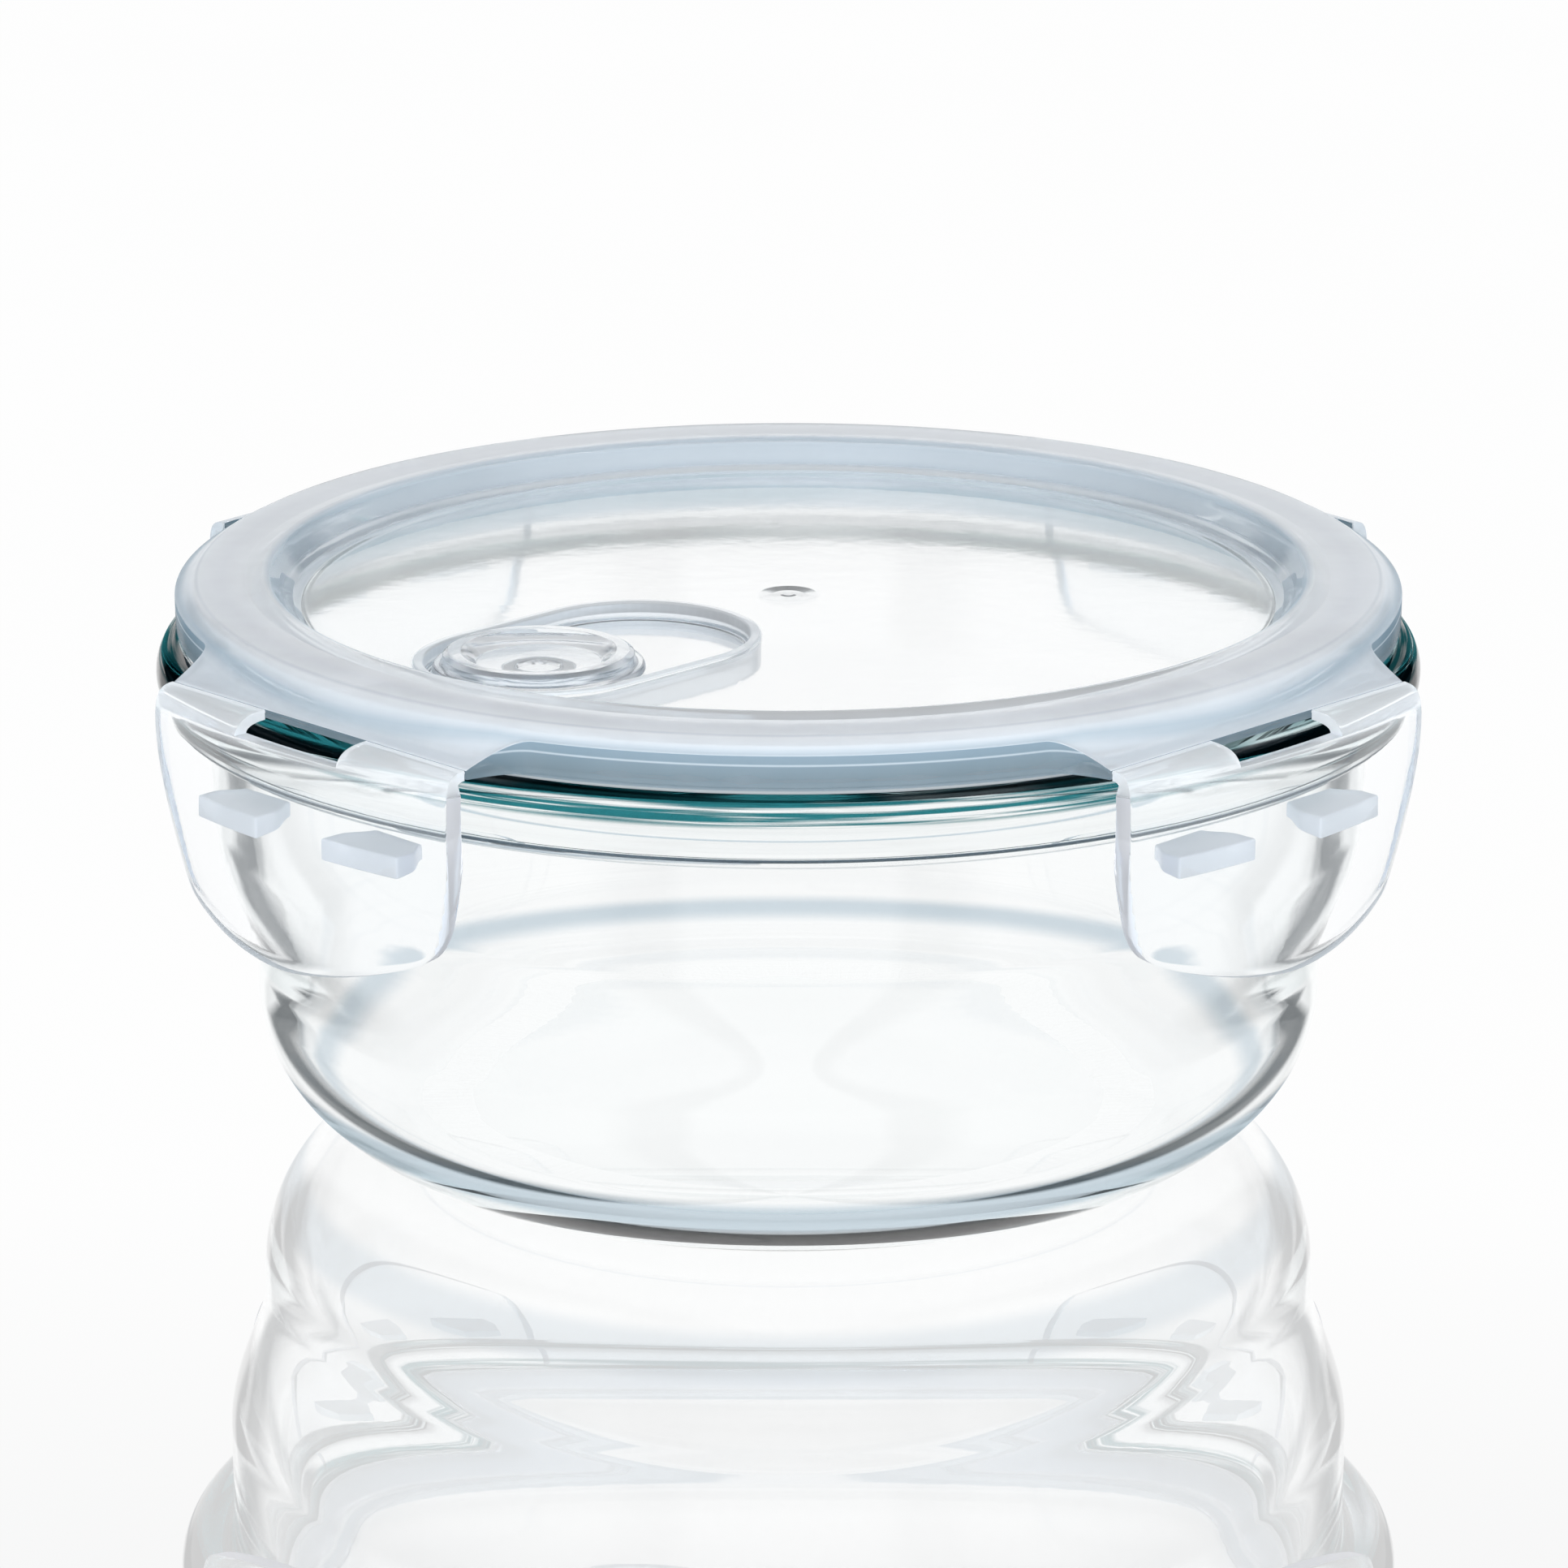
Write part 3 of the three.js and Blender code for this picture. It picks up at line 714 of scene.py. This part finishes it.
def bowl_profile():
    corner_width = WAIST_RADIUS - FOOT_RADIUS
    inner_waist = FLOOR + INNER_CORNER[1]
    inner_foot = WAIST_RADIUS - WALL - INNER_CORNER[0]
    bead_height = RIM_HEIGHT - BEAD_RADIUS
    flare = [lerp(FLARE_LOW, FLARE_HIGH, i / 16) for i in range(17)]
    foot = filleted(
        [
            (0, FOOT_HOLLOW, 0),
            (FOOT_RADIUS - FOOT_RING, 0, FOOT_FILLET),
            (FOOT_RADIUS, 0, 0),
        ]
    )
    outer_corner = arc((FOOT_RADIUS, WAIST_HEIGHT), (corner_width, WAIST_HEIGHT), -90, 0, 24)[1:]
    outer_wall = [(outer_wall_radius(h), h) for h in flare]
    neck = filleted(
        [
            (WALL_TOP_RADIUS, FLARE_HIGH + 2, 0),
            (WALL_TOP_RADIUS, bead_height - BEAD_RADIUS - 0.2, NECK_FILLET),
            (BEAD_CENTRE - BEAD_FILLET_WIDTH, bead_height - BEAD_RADIUS + 0.1, 0),
        ],
        6,
    )
    bead = arc((BEAD_CENTRE, bead_height), (BEAD_RADIUS, BEAD_RADIUS), -90, 90, 28)
    lip = filleted(
        [
            (BEAD_CENTRE - 2, RIM_HEIGHT, 0),
            (MOUTH_RADIUS, RIM_HEIGHT, MOUTH_FILLET),
            (MOUTH_RADIUS, RIM_HEIGHT - MOUTH_DEPTH, 0),
        ],
        6,
    )
    inner_wall = [(outer_wall_radius(h) - WALL, h) for h in reversed(flare)]
    inner_bottom = arc((inner_foot, inner_waist), INNER_CORNER, 0, -90, 24)
    outside = foot + outer_corner + outer_wall + neck + bead
    return outside + lip + inner_wall + inner_bottom + [(0, FLOOR)]


# ---- Lid -------------------------------------------------------------------------------------
HINGE_CORNER = math.atan2(HINGE_HALF_WIDTH, HINGE_DISTANCE)
APRON_END = math.radians(22.6)
APRON_SWEEP = 2.2  # exponent of the sweep from the hinge line's end into the ring


def apron_reach(offset):
    """How far the apron stands out at an angle from the flap's middle: radius and share of rise."""
    offset = abs(offset)
    if offset <= HINGE_CORNER:
        return HINGE_DISTANCE / math.cos(offset), 0.0
    corner = HINGE_DISTANCE / math.cos(HINGE_CORNER)
    share = min((offset - HINGE_CORNER) / (APRON_END - HINGE_CORNER), 1.0)
    eased = 1 - (1 - share) ** APRON_SWEEP
    return lerp(corner, LID_RADIUS, eased), eased


def lid_azimuths():
    """Angles round the lid, closer together where the aprons' sides sweep in."""
    corner = math.degrees(HINGE_CORNER)
    end = math.degrees(APRON_END)
    half = [corner * i / 12 for i in range(12)]
    half += [lerp(corner, end, i / 14) for i in range(15)]
    half += [lerp(end, SECTOR_HALF_ANGLE, i / 16) for i in range(1, 17)]
    sector = [-a for a in reversed(half[1:-1])] + half
    return [
        (math.radians(middle + offset), math.radians(offset))
        for middle in sorted(FLAPS.values())
        for offset in sector
    ]


def lid_profile(offset):
    """The lid's section at an angle from the nearest flap's middle: along its underside from the
    axis, up the edge and back over the top.
    """
    reach, rise = apron_reach(offset)
    out = reach - LID_RADIUS
    panel_bottom = PANEL_TOP - LID_SKIN
    wall = LID_RADIUS - LID_WALL
    edge_top = lerp(HINGE_HEIGHT, LID_TOP - RING_EDGE_DROP, rise)
    edge_bottom = lerp(HINGE_HEIGHT - HINGE_EDGE, LID_WALL_BOTTOM + 0.5, rise)
    under = lerp(HINGE_HEIGHT - HINGE_EDGE + 1.2, LID_WALL_BOTTOM + 0.9, rise)
    inside = filleted(
        [
            (0.0, panel_bottom, 0),
            (PANEL_RADIUS - 1.2, panel_bottom, 3),
            (SKIRT_RADIUS - LID_SKIN, LID_TOP - 4.2, 1),
            (SKIRT_RADIUS - LID_SKIN, SKIRT_BOTTOM, 0.3),
            (SKIRT_RADIUS - 0.4, SKIRT_BOTTOM, 0.3),
            (SKIRT_RADIUS, SKIRT_BOTTOM + 1, 0.5),
            (SKIRT_RADIUS, CHANNEL_TOP, 0.5),
            (wall, CHANNEL_TOP, 0.5),
            (wall, LID_WALL_BOTTOM, 0),
        ]
    )
    shoulder = (LID_RADIUS - SHOULDER_WIDTH, LID_TOP - SHOULDER_DROP, 0)
    crown = [
        (
            lerp(reach, LID_RADIUS - 2.4, share),
            edge_top + (LID_TOP - 0.65 - edge_top) * share ** CROWN_FALL,
            0,
        )
        for share in CROWN_SHARES
    ]
    edge = [
        (wall, LID_WALL_BOTTOM, 0),
        (LID_RADIUS - 0.9, LID_WALL_BOTTOM, 0.25),
        (LID_RADIUS - 0.6 + 0.02 * out, under, 0.3 + 0.1 * out),
        (reach - 0.05, edge_bottom, 0.15),
        (reach, edge_top, 0.2),
    ]
    outside = filleted(edge + crown + [shoulder])
    top = filleted(
        [
            shoulder,
            (RECESS_RADIUS + 3.3, LID_TOP - SHOULDER_DROP, 1.5),
            (RECESS_RADIUS + 1, LID_TOP, 0.8),
            (RECESS_RADIUS, LID_TOP - 0.2, 0.5),
            (RECESS_RADIUS - 1.4, LID_TOP - 1.6, 1),
            (PANEL_RADIUS + 0.4, PANEL_TOP + 0.7, 1),
            (PANEL_RADIUS - 0.8, PANEL_TOP, 1),
            (GATE_RADIUS + 0.2, PANEL_TOP, 0.6),
            (GATE_RADIUS - 1.5, PANEL_TOP - GATE_DEPTH, 0.6),
            (1.1, PANEL_TOP - GATE_DEPTH, 0.2),
            (GATE_NUB_RADIUS, PANEL_TOP - GATE_NUB_DROP, 0.2),
            (0.0, PANEL_TOP - GATE_NUB_DROP, 0),
        ]
    )
    return inside + outside[1:] + top[1:]


def stadium(profile):
    """A (distance, height) profile swept round the vent well's round-ended outline."""
    outer = [(WELL_OUTER_CENTRE, math.radians(a)) for a in range(-90, 91, 5)]
    inner = [(WELL_INNER_CENTRE, math.radians(a)) for a in range(90, 271, 5)]
    rings = []
    for distance, height in profile:
        ring = []
        for centre, angle in outer + inner:
            x = centre + distance * math.cos(angle)
            y = distance * math.sin(angle)
            turned_x = x * math.cos(VENT_ANGLE) - y * math.sin(VENT_ANGLE)
            turned_y = x * math.sin(VENT_ANGLE) + y * math.cos(VENT_ANGLE)
            ring.append((turned_x, turned_y, height))
        rings.append(ring)
    return rings


def stadium_solid(name, profile):
    """The swept profile as a solid, closed flat over its first and last rings."""
    rings = stadium(profile)
    vertices = [v for ring in rings for v in ring]
    count = len(rings[0])
    faces = [tuple(range(count)), tuple(range(len(vertices) - count, len(vertices)))]
    for k in range(len(rings) - 1):
        for i in range(count):
            j = (i + 1) % count
            a, b = k * count, (k + 1) * count
            faces.append((a + i, b + i, b + j, a + j))
    return mesh_object(name, vertices, faces)


def vent_centre():
    return WELL_OUTER_CENTRE * math.cos(VENT_ANGLE), WELL_OUTER_CENTRE * math.sin(VENT_ANGLE)


def build_lid():
    azimuths = lid_azimuths()
    sections = {}
    for _, offset in azimuths:
        key = round(abs(offset), 6)
        if key not in sections:
            sections[key] = lid_profile(offset)
    count = len(sections[0])
    rings = []
    for k in range(count):
        if k in (0, count - 1):
            rings.append([(0, 0, sections[0][k][1])])
            continue
        ring = []
        for azimuth, offset in azimuths:
            radius, height = sections[round(abs(offset), 6)][k]
            ring.append((radius * math.cos(azimuth), radius * math.sin(azimuth), height))
        rings.append(ring)
    lid = swept_rings("lid_moulding", rings)
    inside = WELL_RADIUS - WELL_WALL
    middle = inside + WELL_WALL / 2
    opening = stadium_solid("opening", [(middle, CUT_FROM), (middle, CUT_TO)])
    combine(lid, opening, "DIFFERENCE")
    well_profile = filleted(
        [
            (inside - WELL_OVERLAP, WELL_FLOOR_BOTTOM, 0),
            (inside, WELL_FLOOR_BOTTOM, 0.6),
            (inside, WELL_SKIRT_BOTTOM, 0.2),
            (WELL_RADIUS, WELL_SKIRT_BOTTOM, 0.2),
            (WELL_RADIUS, PANEL_TOP + WELL_LIP, 0.35),
            (inside, PANEL_TOP + WELL_LIP, 0.35),
            (inside, WELL_FLOOR_TOP, 0.6),
            (inside - WELL_OVERLAP, WELL_FLOOR_TOP, 0),
        ]
    )
    combine(lid, stadium_solid("well", well_profile), "UNION")
    hole_profile = [
        (radius, height)
        for height, radii in ((CUT_FROM, (0, VENT_HOLE_RADIUS)), (CUT_TO, (VENT_HOLE_RADIUS, 0)))
        for radius in radii
    ]
    combine(lid, turned("hole", hole_profile, SMALL_SEGMENTS, vent_centre()), "DIFFERENCE")
    shade(lid, SHARP_ANGLE)
    return lid


def gasket_profile():
    low, high = gasket_low.z, gasket_high.z
    corners = [
        (GASKET_INNER, low),
        (GASKET_INNER + LIP_WIDTH, low),
        (GASKET_INNER + LIP_BASE, low + LIP_HEIGHT),
        (GASKET_OUTER - LIP_BASE, low + LIP_HEIGHT),
        (GASKET_OUTER - LIP_WIDTH, low),
        (GASKET_OUTER, low),
        (GASKET_OUTER, high - 1),
        (GASKET_OUTER - 1, high),
        (GASKET_INNER + 1, high),
        (GASKET_INNER, high - 1),
    ]
    side = (GASKET_INNER, (low + high) / 2, 0)
    rounded = [
        (x, y, LIP_ROOT_FILLET if y == low + LIP_HEIGHT else GASKET_CORNER) for x, y in corners
    ]
    return filleted([side] + rounded + [side])[:-1]


# ---- Vent ------------------------------------------------------------------------------------
def cap_profile():
    head_top = cap_low.z + CAP_HEAD_HEIGHT
    underside = WELL_FLOOR_TOP + HINGE_GAP
    rim, ring = CAP_RIM_HEIGHT, cap_high.z
    return filleted(
        [
            (0, cap_low.z, 0),
            (CAP_HEAD_RADIUS, cap_low.z, 0.2),
            (CAP_HEAD_RADIUS, head_top, 0.2),
            (CAP_STEM_RADIUS, head_top, 0.15),
            (CAP_STEM_RADIUS, underside, 0.2),
            (CAP_RADIUS - 0.4, underside, 0.3),
            (CAP_RADIUS, underside + 0.5, 0.3),
            (CAP_RADIUS - 0.3, rim, 0.4),
            (CAP_RADIUS - CAP_RIM_WIDTH, rim, 0.4),
            (CAP_RADIUS - 1.5, ring - 0.4, 0.3),
            (CAP_RADIUS - GRIP_RING_OUTER, ring, 0.5),
            (CAP_RADIUS - GRIP_RING_INNER, ring, 0.5),
            (CAP_RADIUS - 4.6, ring - 0.5, 0.5),
            (CAP_RADIUS - CAP_DISH_EDGE, rim + 0.1, 0.8),
            (CAP_RADIUS / 4, rim - 0.25, 2),
            (0, rim - 0.3, 0),
        ]
    )


def seal_profile():
    inner, outer = CAP_STEM_RADIUS + HINGE_GAP, VENT_HOLE_RADIUS - HINGE_GAP
    low, high = seal_low.z, seal_high.z
    return filleted(
        [
            (inner, (low + high) / 2, 0),
            (inner, low, 0.15),
            (outer - 0.5, low, 0.15),
            (outer, low + 0.6, 0.2),
            (outer, high, 0.2),
            (inner, high, 0.15),
            (inner, (low + high) / 2, 0),
        ]
    )[:-1]


# ---- Flaps -----------------------------------------------------------------------------------
def flap_length(across):
    bow = max(0.0, 1 - abs(across) ** FLAP_BOW_WIDTH) ** FLAP_BOW_FULLNESS
    from_edge = HINGE_HALF_WIDTH * (1 - abs(across))
    into_corner = min(max(0.0, 1 - from_edge / FLAP_CORNER), 1.0)
    corner = FLAP_CORNER * (1 - math.sqrt(1 - into_corner ** 2))
    return FLAP_SIDE_LENGTH + FLAP_BOTTOM_BOW * bow - corner


def flap_face(across, drop):
    """A point on the flap's outer face: distance from the axis, sideways and height."""
    share = drop / flap_length(across)
    bulge = lerp(FLAP_BULGE_MIDDLE, FLAP_BULGE_SIDE, across ** 2)
    shoulder = math.sqrt(drop / (drop + FLAP_SHOULDER))
    tuck = FLAP_TUCK_SIDE * across ** 2 * share ** 2
    width = HINGE_HALF_WIDTH * (1 - FLAP_NARROWING * share ** 3)
    return HINGE_DISTANCE + HINGE_GAP + bulge * shoulder - tuck, width * across, HINGE_HEIGHT - drop


def flap_inner_face(across, drop):
    """The outer face moved square to itself, and never back past the hinge."""
    distance, sideways, height = flap_face(across, drop)
    step = 0.05  # over which the slope is measured
    slope = (flap_face(across, drop + step)[0] - distance) / step
    thickness = lerp(HINGE_EDGE, FLAP_THICKNESS, min(1.0, drop / FLAP_THICKENING))
    scale = thickness / math.hypot(1, slope)
    return max(distance - scale, HINGE_DISTANCE + HINGE_GAP), sideways, height - scale * slope


def build_flap(name):
    def place(u, v):
        across = math.sin((u - 0.5) * math.pi)
        return across, flap_length(across) * v ** FLAP_ROW_SPACING

    flap = slab(
        name,
        lambda u, v: flap_face(*place(u, v)),
        lambda u, v: flap_inner_face(*place(u, v)),
        FLAP_COLUMNS,
        FLAP_ROWS,
    )
    bpy.ops.mesh.primitive_cube_add(size=1)
    slot = bpy.context.object
    slot.scale = (SLOT_CUT_WIDTH * MM, 2 * SLOT_HALF_WIDTH * MM, 2 * SLOT_DEPTH * MM)
    slot.location = ((HINGE_DISTANCE + SLOT_CUT_OFFSET) * MM, 0, HINGE_HEIGHT * MM)
    bpy.context.view_layer.update()
    combine(flap, slot, "DIFFERENCE")
    return bevelled(flap, FLAP_BEVEL)


def mark_cut_edges(flap):
    """Gives the flap's narrow edge faces the second material."""
    highest = (HINGE_HEIGHT - FLAP_THICKENING) * MM
    for face in flap.data.polygons:
        if face.center.z < highest and abs(face.normal.x) < EDGE_FACING:
            face.material_index = 1


def build_catch(name, side):
    middle = (CATCH_FROM + CATCH_TO) / 2
    half = (CATCH_TO - CATCH_FROM) / 2

    def root(sideways):
        across = sideways / HINGE_HALF_WIDTH
        return flap_face(across, HINGE_HEIGHT - CATCH_TOP)[0] - FLAP_THICKNESS - CATCH_ROOT_GAP

    def plan(u, v):
        narrowed = half - CATCH_CHAMFER * smoothstep(0.4, 1, v)
        sideways = side * middle + narrowed * (2 * u - 1)
        return lerp(root(sideways), CATCH_TIP, v), sideways

    catch = slab(
        name,
        lambda u, v: (*plan(u, v), CATCH_TOP),
        lambda u, v: (*plan(u, v), lerp(CATCH_ROOT_BOTTOM, CATCH_TIP_BOTTOM, v)),
        12,
        16,
    )
    return bevelled(catch, CATCH_BEVEL)


def build_web(name, side):
    """One of the two thin strips of the living hinge, beside the slot."""
    low, high = SLOT_HALF_WIDTH + WEB_END_MARGIN, HINGE_HALF_WIDTH - WEB_END_MARGIN
    level = HINGE_HEIGHT - WEB_TOP_DROP

    def place(u, v):
        return HINGE_MIDDLE + WEB_HALF_WIDTH * (2 * u - 1), side * lerp(low, high, v)

    def top(u, v):
        fold = math.exp(-(((u - 0.5) * WEB_FOLD_NARROWNESS) ** 2))
        return *place(u, v), level - WEB_FOLD_DEPTH * fold

    def bottom(u, v):
        return *place(u, v), level - WEB_THICKNESS

    return slab(name, top, bottom, 16, 24)


def turn_to(piece, degrees):
    piece.data.transform(Matrix.Rotation(math.radians(degrees), 4, "Z"))


# ---- Assembly --------------------------------------------------------------------------------
glass = glass_material()
lid_plastic = lid_material()
flap_plastic = flap_material()
catch_plastic = clear_plastic(Nodes("catch_plastic"), CATCH_HAZE, MILKY_CATCH, *CATCH_FINISH)
vent_plastic = clear_plastic(Nodes("vent_plastic"), VENT_HAZE, MILKY_VENT, *VENT_FINISH)
silicone = silicone_material()


def dress(piece, materials, body, slot, *nodes):
    for material in materials:
        piece.data.materials.append(material)
    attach(piece, body)
    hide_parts(*nodes)


bowl = turned("bowl_glass", bowl_profile(), RING_SEGMENTS)
dress(bowl, [glass], "bowl", "clear_glass", "glass_bowl")

dress(build_lid(), [lid_plastic], "lid", "lid_plastic", "lid")

gasket = turned("gasket_ring", gasket_profile(), RING_SEGMENTS, closed=True)
dress(gasket, [silicone], "lid", "silicone", "lid_gasket")

cap = turned("vent_cap_moulding", cap_profile(), CAP_SEGMENTS, vent_centre())
dress(cap, [vent_plastic], "vent", "vent_plastic", "vent_cap")

seal = turned("vent_sleeve", seal_profile(), SMALL_SEGMENTS, vent_centre(), closed=True)
dress(seal, [silicone], "vent", "silicone", "vent_seal")

for place, degrees in FLAPS.items():
    flap = build_flap("snap_flap_" + place)
    mark_cut_edges(flap)
    turn_to(flap, degrees)
    dress(flap, (flap_plastic, catch_plastic), "flap_" + place, "flap_plastic", "flap_" + place)
    for number, side in ((1, -1), (2, 1)):
        catch = build_catch(f"snap_catch_{place}_{number}", side)
        turn_to(catch, degrees)
        node = f"catch_{place}_{number}"
        dress(catch, [catch_plastic], "flap_" + place, "flap_plastic", node)
        web = build_web(f"hinge_web_{place}_{number}", side)
        turn_to(web, degrees)
        web.data.materials.append(flap_plastic)
        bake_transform(web)


# ---- Floor, light and camera -----------------------------------------------------------------
DARK = (0.012, 0.03, 0.04)
CARD_END = (0.38, 0.5)  # the dark cards fade out between these heights above or below level
MIRRORING = 0.4  # share of the view that the table mirrors
TABLE_SIZE = 6  # in metres
BACKDROP_WHITE = (0.98, 0.98, 0.98, 1)
# Brightness against how far to the side of the view a direction is, from 0 to 1.
BACKDROP = ((0.0, 1.0), (0.40, 1.0), (0.48, 0.0), (0.62, 0.0), (0.76, 0.9), (1.0, 0.9))
ROOM = ((0.0, 0.35), (0.5, 0.35), (0.6, 1.0), (0.8, 1.0), (1.0, 0.6))
# Brightness against height above the horizon, from 0 to 1.
SKY = ((0.0, 1.0), (0.35, 1.0), (0.5, 0.6), (0.75, 0.55), (0.88, 1.0))
# Name, place and size in metres, and power in watts.
LAMPS = (
    ("top_lamp", (0.1, 0.2, 0.9), 0.7, 3.2),
    ("left_lamp", (-0.6, -0.9, 0.2), 0.5, 12),
    ("right_lamp", (0.6, -0.9, 0.2), 0.5, 12),
)
# The camera: degrees above level, then millimetres, then a share of the picture.
ELEVATION = 17.12
CAMERA_DISTANCE = 899
AIM_HEIGHT = 46.76
SENSOR_WIDTH, FOCAL_LENGTH = 36, 151.9
SIDEWAYS_SHIFT = -0.0028


def side_and_level(nodes, view):
    """How far to the side of the view a camera-space direction is, 0 to 1, and its level part."""
    level = nodes.length(view[0], view[2])
    return nodes.maths("DIVIDE", nodes.maths("ABSOLUTE", view[0]), level), level


def build_floor():
    """A pale mirroring table. Rays that come through glass see the dark cards on it instead."""
    bpy.ops.mesh.primitive_plane_add(size=TABLE_SIZE)
    floor = bpy.context.object
    floor.name = "table_top"
    nodes = Nodes("pale_table")
    level = nodes.ramp(nodes.noise(*TABLE_NOISE), *TABLE_LEVELS)
    glow = nodes.add("ShaderNodeEmission")
    nodes.link(level, glow.inputs["Color"])
    gloss = nodes.add("ShaderNodeBsdfGlossy", Color=(*WHITE, 1), Roughness=0.0)
    seen = nodes.mix(MIRRORING, glow.outputs[0], gloss.outputs[0])
    turned_view = nodes.add(
        "ShaderNodeVectorTransform", vector_type="VECTOR", convert_from="WORLD", convert_to="CAMERA"
    )
    nodes.link(nodes.add("ShaderNodeNewGeometry").outputs["Incoming"], turned_view.inputs[0])
    side, _ = side_and_level(nodes, nodes.split(turned_view.outputs[0]))
    carded = nodes.add("ShaderNodeEmission")
    cards = nodes.blend_colours(nodes.ramp(side, *BACKDROP), DARK, WHITE)
    nodes.link(cards, carded.inputs["Color"])
    through_glass = nodes.add("ShaderNodeLightPath").outputs["Is Transmission Ray"]
    nodes.link(nodes.mix(through_glass, seen, carded.outputs[0]), nodes.output.inputs[0])
    floor.data.materials.append(nodes.material)


def build_world():
    """A white backdrop behind the object, dark cards beside it and a grey room behind the camera.

    The studio turns with the camera, so that every view is lit like the front one.
    """
    world = bpy.data.worlds.new("studio")
    bpy.context.scene.world = world
    nodes = Nodes("studio", world)
    where = nodes.add("ShaderNodeTexCoord")
    view = nodes.split(where.outputs["Camera"])
    rise = nodes.split(where.outputs["Generated"])[2]
    side, level = side_and_level(nodes, view)
    facing = nodes.between(nodes.maths("DIVIDE", view[2], level), -0.1, 0.1, 0.0, 1.0)
    around = nodes.add("ShaderNodeMix", data_type="FLOAT")
    nodes.link(facing, around.inputs["Factor"])
    nodes.link(nodes.ramp(side, *ROOM), around.inputs[2])
    nodes.link(nodes.ramp(side, *BACKDROP), around.inputs[3])
    steep = nodes.between(nodes.maths("ABSOLUTE", rise), *CARD_END, 0.0, 1.0)
    open_side = nodes.maths("MAXIMUM", around.outputs[0], steep)
    brightness = nodes.product(open_side, nodes.ramp(rise, *SKY))
    lit = nodes.add("ShaderNodeBackground")
    nodes.link(nodes.blend_colours(brightness, DARK, WHITE), lit.inputs[0])
    backdrop = nodes.add("ShaderNodeBackground", Color=BACKDROP_WHITE)
    camera_ray = nodes.add("ShaderNodeLightPath").outputs["Is Camera Ray"]
    nodes.link(nodes.mix(camera_ray, lit.outputs[0], backdrop.outputs[0]), nodes.output.inputs[0])


def build_lamps():
    """Soft lamps that light the milky plastic but don't show in the glass."""
    for name, place, size, power in LAMPS:
        data = bpy.data.lights.new(name, "AREA")
        data.size = size
        data.energy = power
        lamp = bpy.data.objects.new(name, data)
        bpy.context.scene.collection.objects.link(lamp)
        lamp.location = place
        lamp.rotation_mode = "QUATERNION"
        lamp.rotation_quaternion = (-Vector(place)).to_track_quat("-Z", "Y")
        lamp.visible_glossy = False
        lamp.visible_transmission = False


def build_camera():
    elevation = math.radians(ELEVATION)
    target = Vector((0, 0, AIM_HEIGHT * MM))
    back = Vector((0, -math.cos(elevation), math.sin(elevation)))
    data = bpy.data.cameras.new("camera")
    data.sensor_width = SENSOR_WIDTH
    data.lens = FOCAL_LENGTH
    data.shift_x = SIDEWAYS_SHIFT
    camera = bpy.data.objects.new("camera", data)
    bpy.context.scene.collection.objects.link(camera)
    camera.location = target + back * (CAMERA_DISTANCE * MM)
    camera.rotation_mode = "QUATERNION"
    camera.rotation_quaternion = (-back).to_track_quat("-Z", "Y")
    data.clip_start = 0.01
    data.clip_end = 100
    bpy.context.scene.camera = camera


def set_light_paths():
    """Lets light pass through all the layers of glass and plastic."""
    scene = bpy.context.scene
    scene.view_settings.view_transform = "Standard"
    scene.cycles.max_bounces = 32
    scene.cycles.transmission_bounces = 28
    scene.cycles.glossy_bounces = 8
    scene.cycles.diffuse_bounces = 4
    scene.cycles.transparent_max_bounces = 32
    scene.cycles.caustics_reflective = False
    scene.cycles.caustics_refractive = False


build_floor()
build_world()
build_lamps()
build_camera()
set_light_paths()
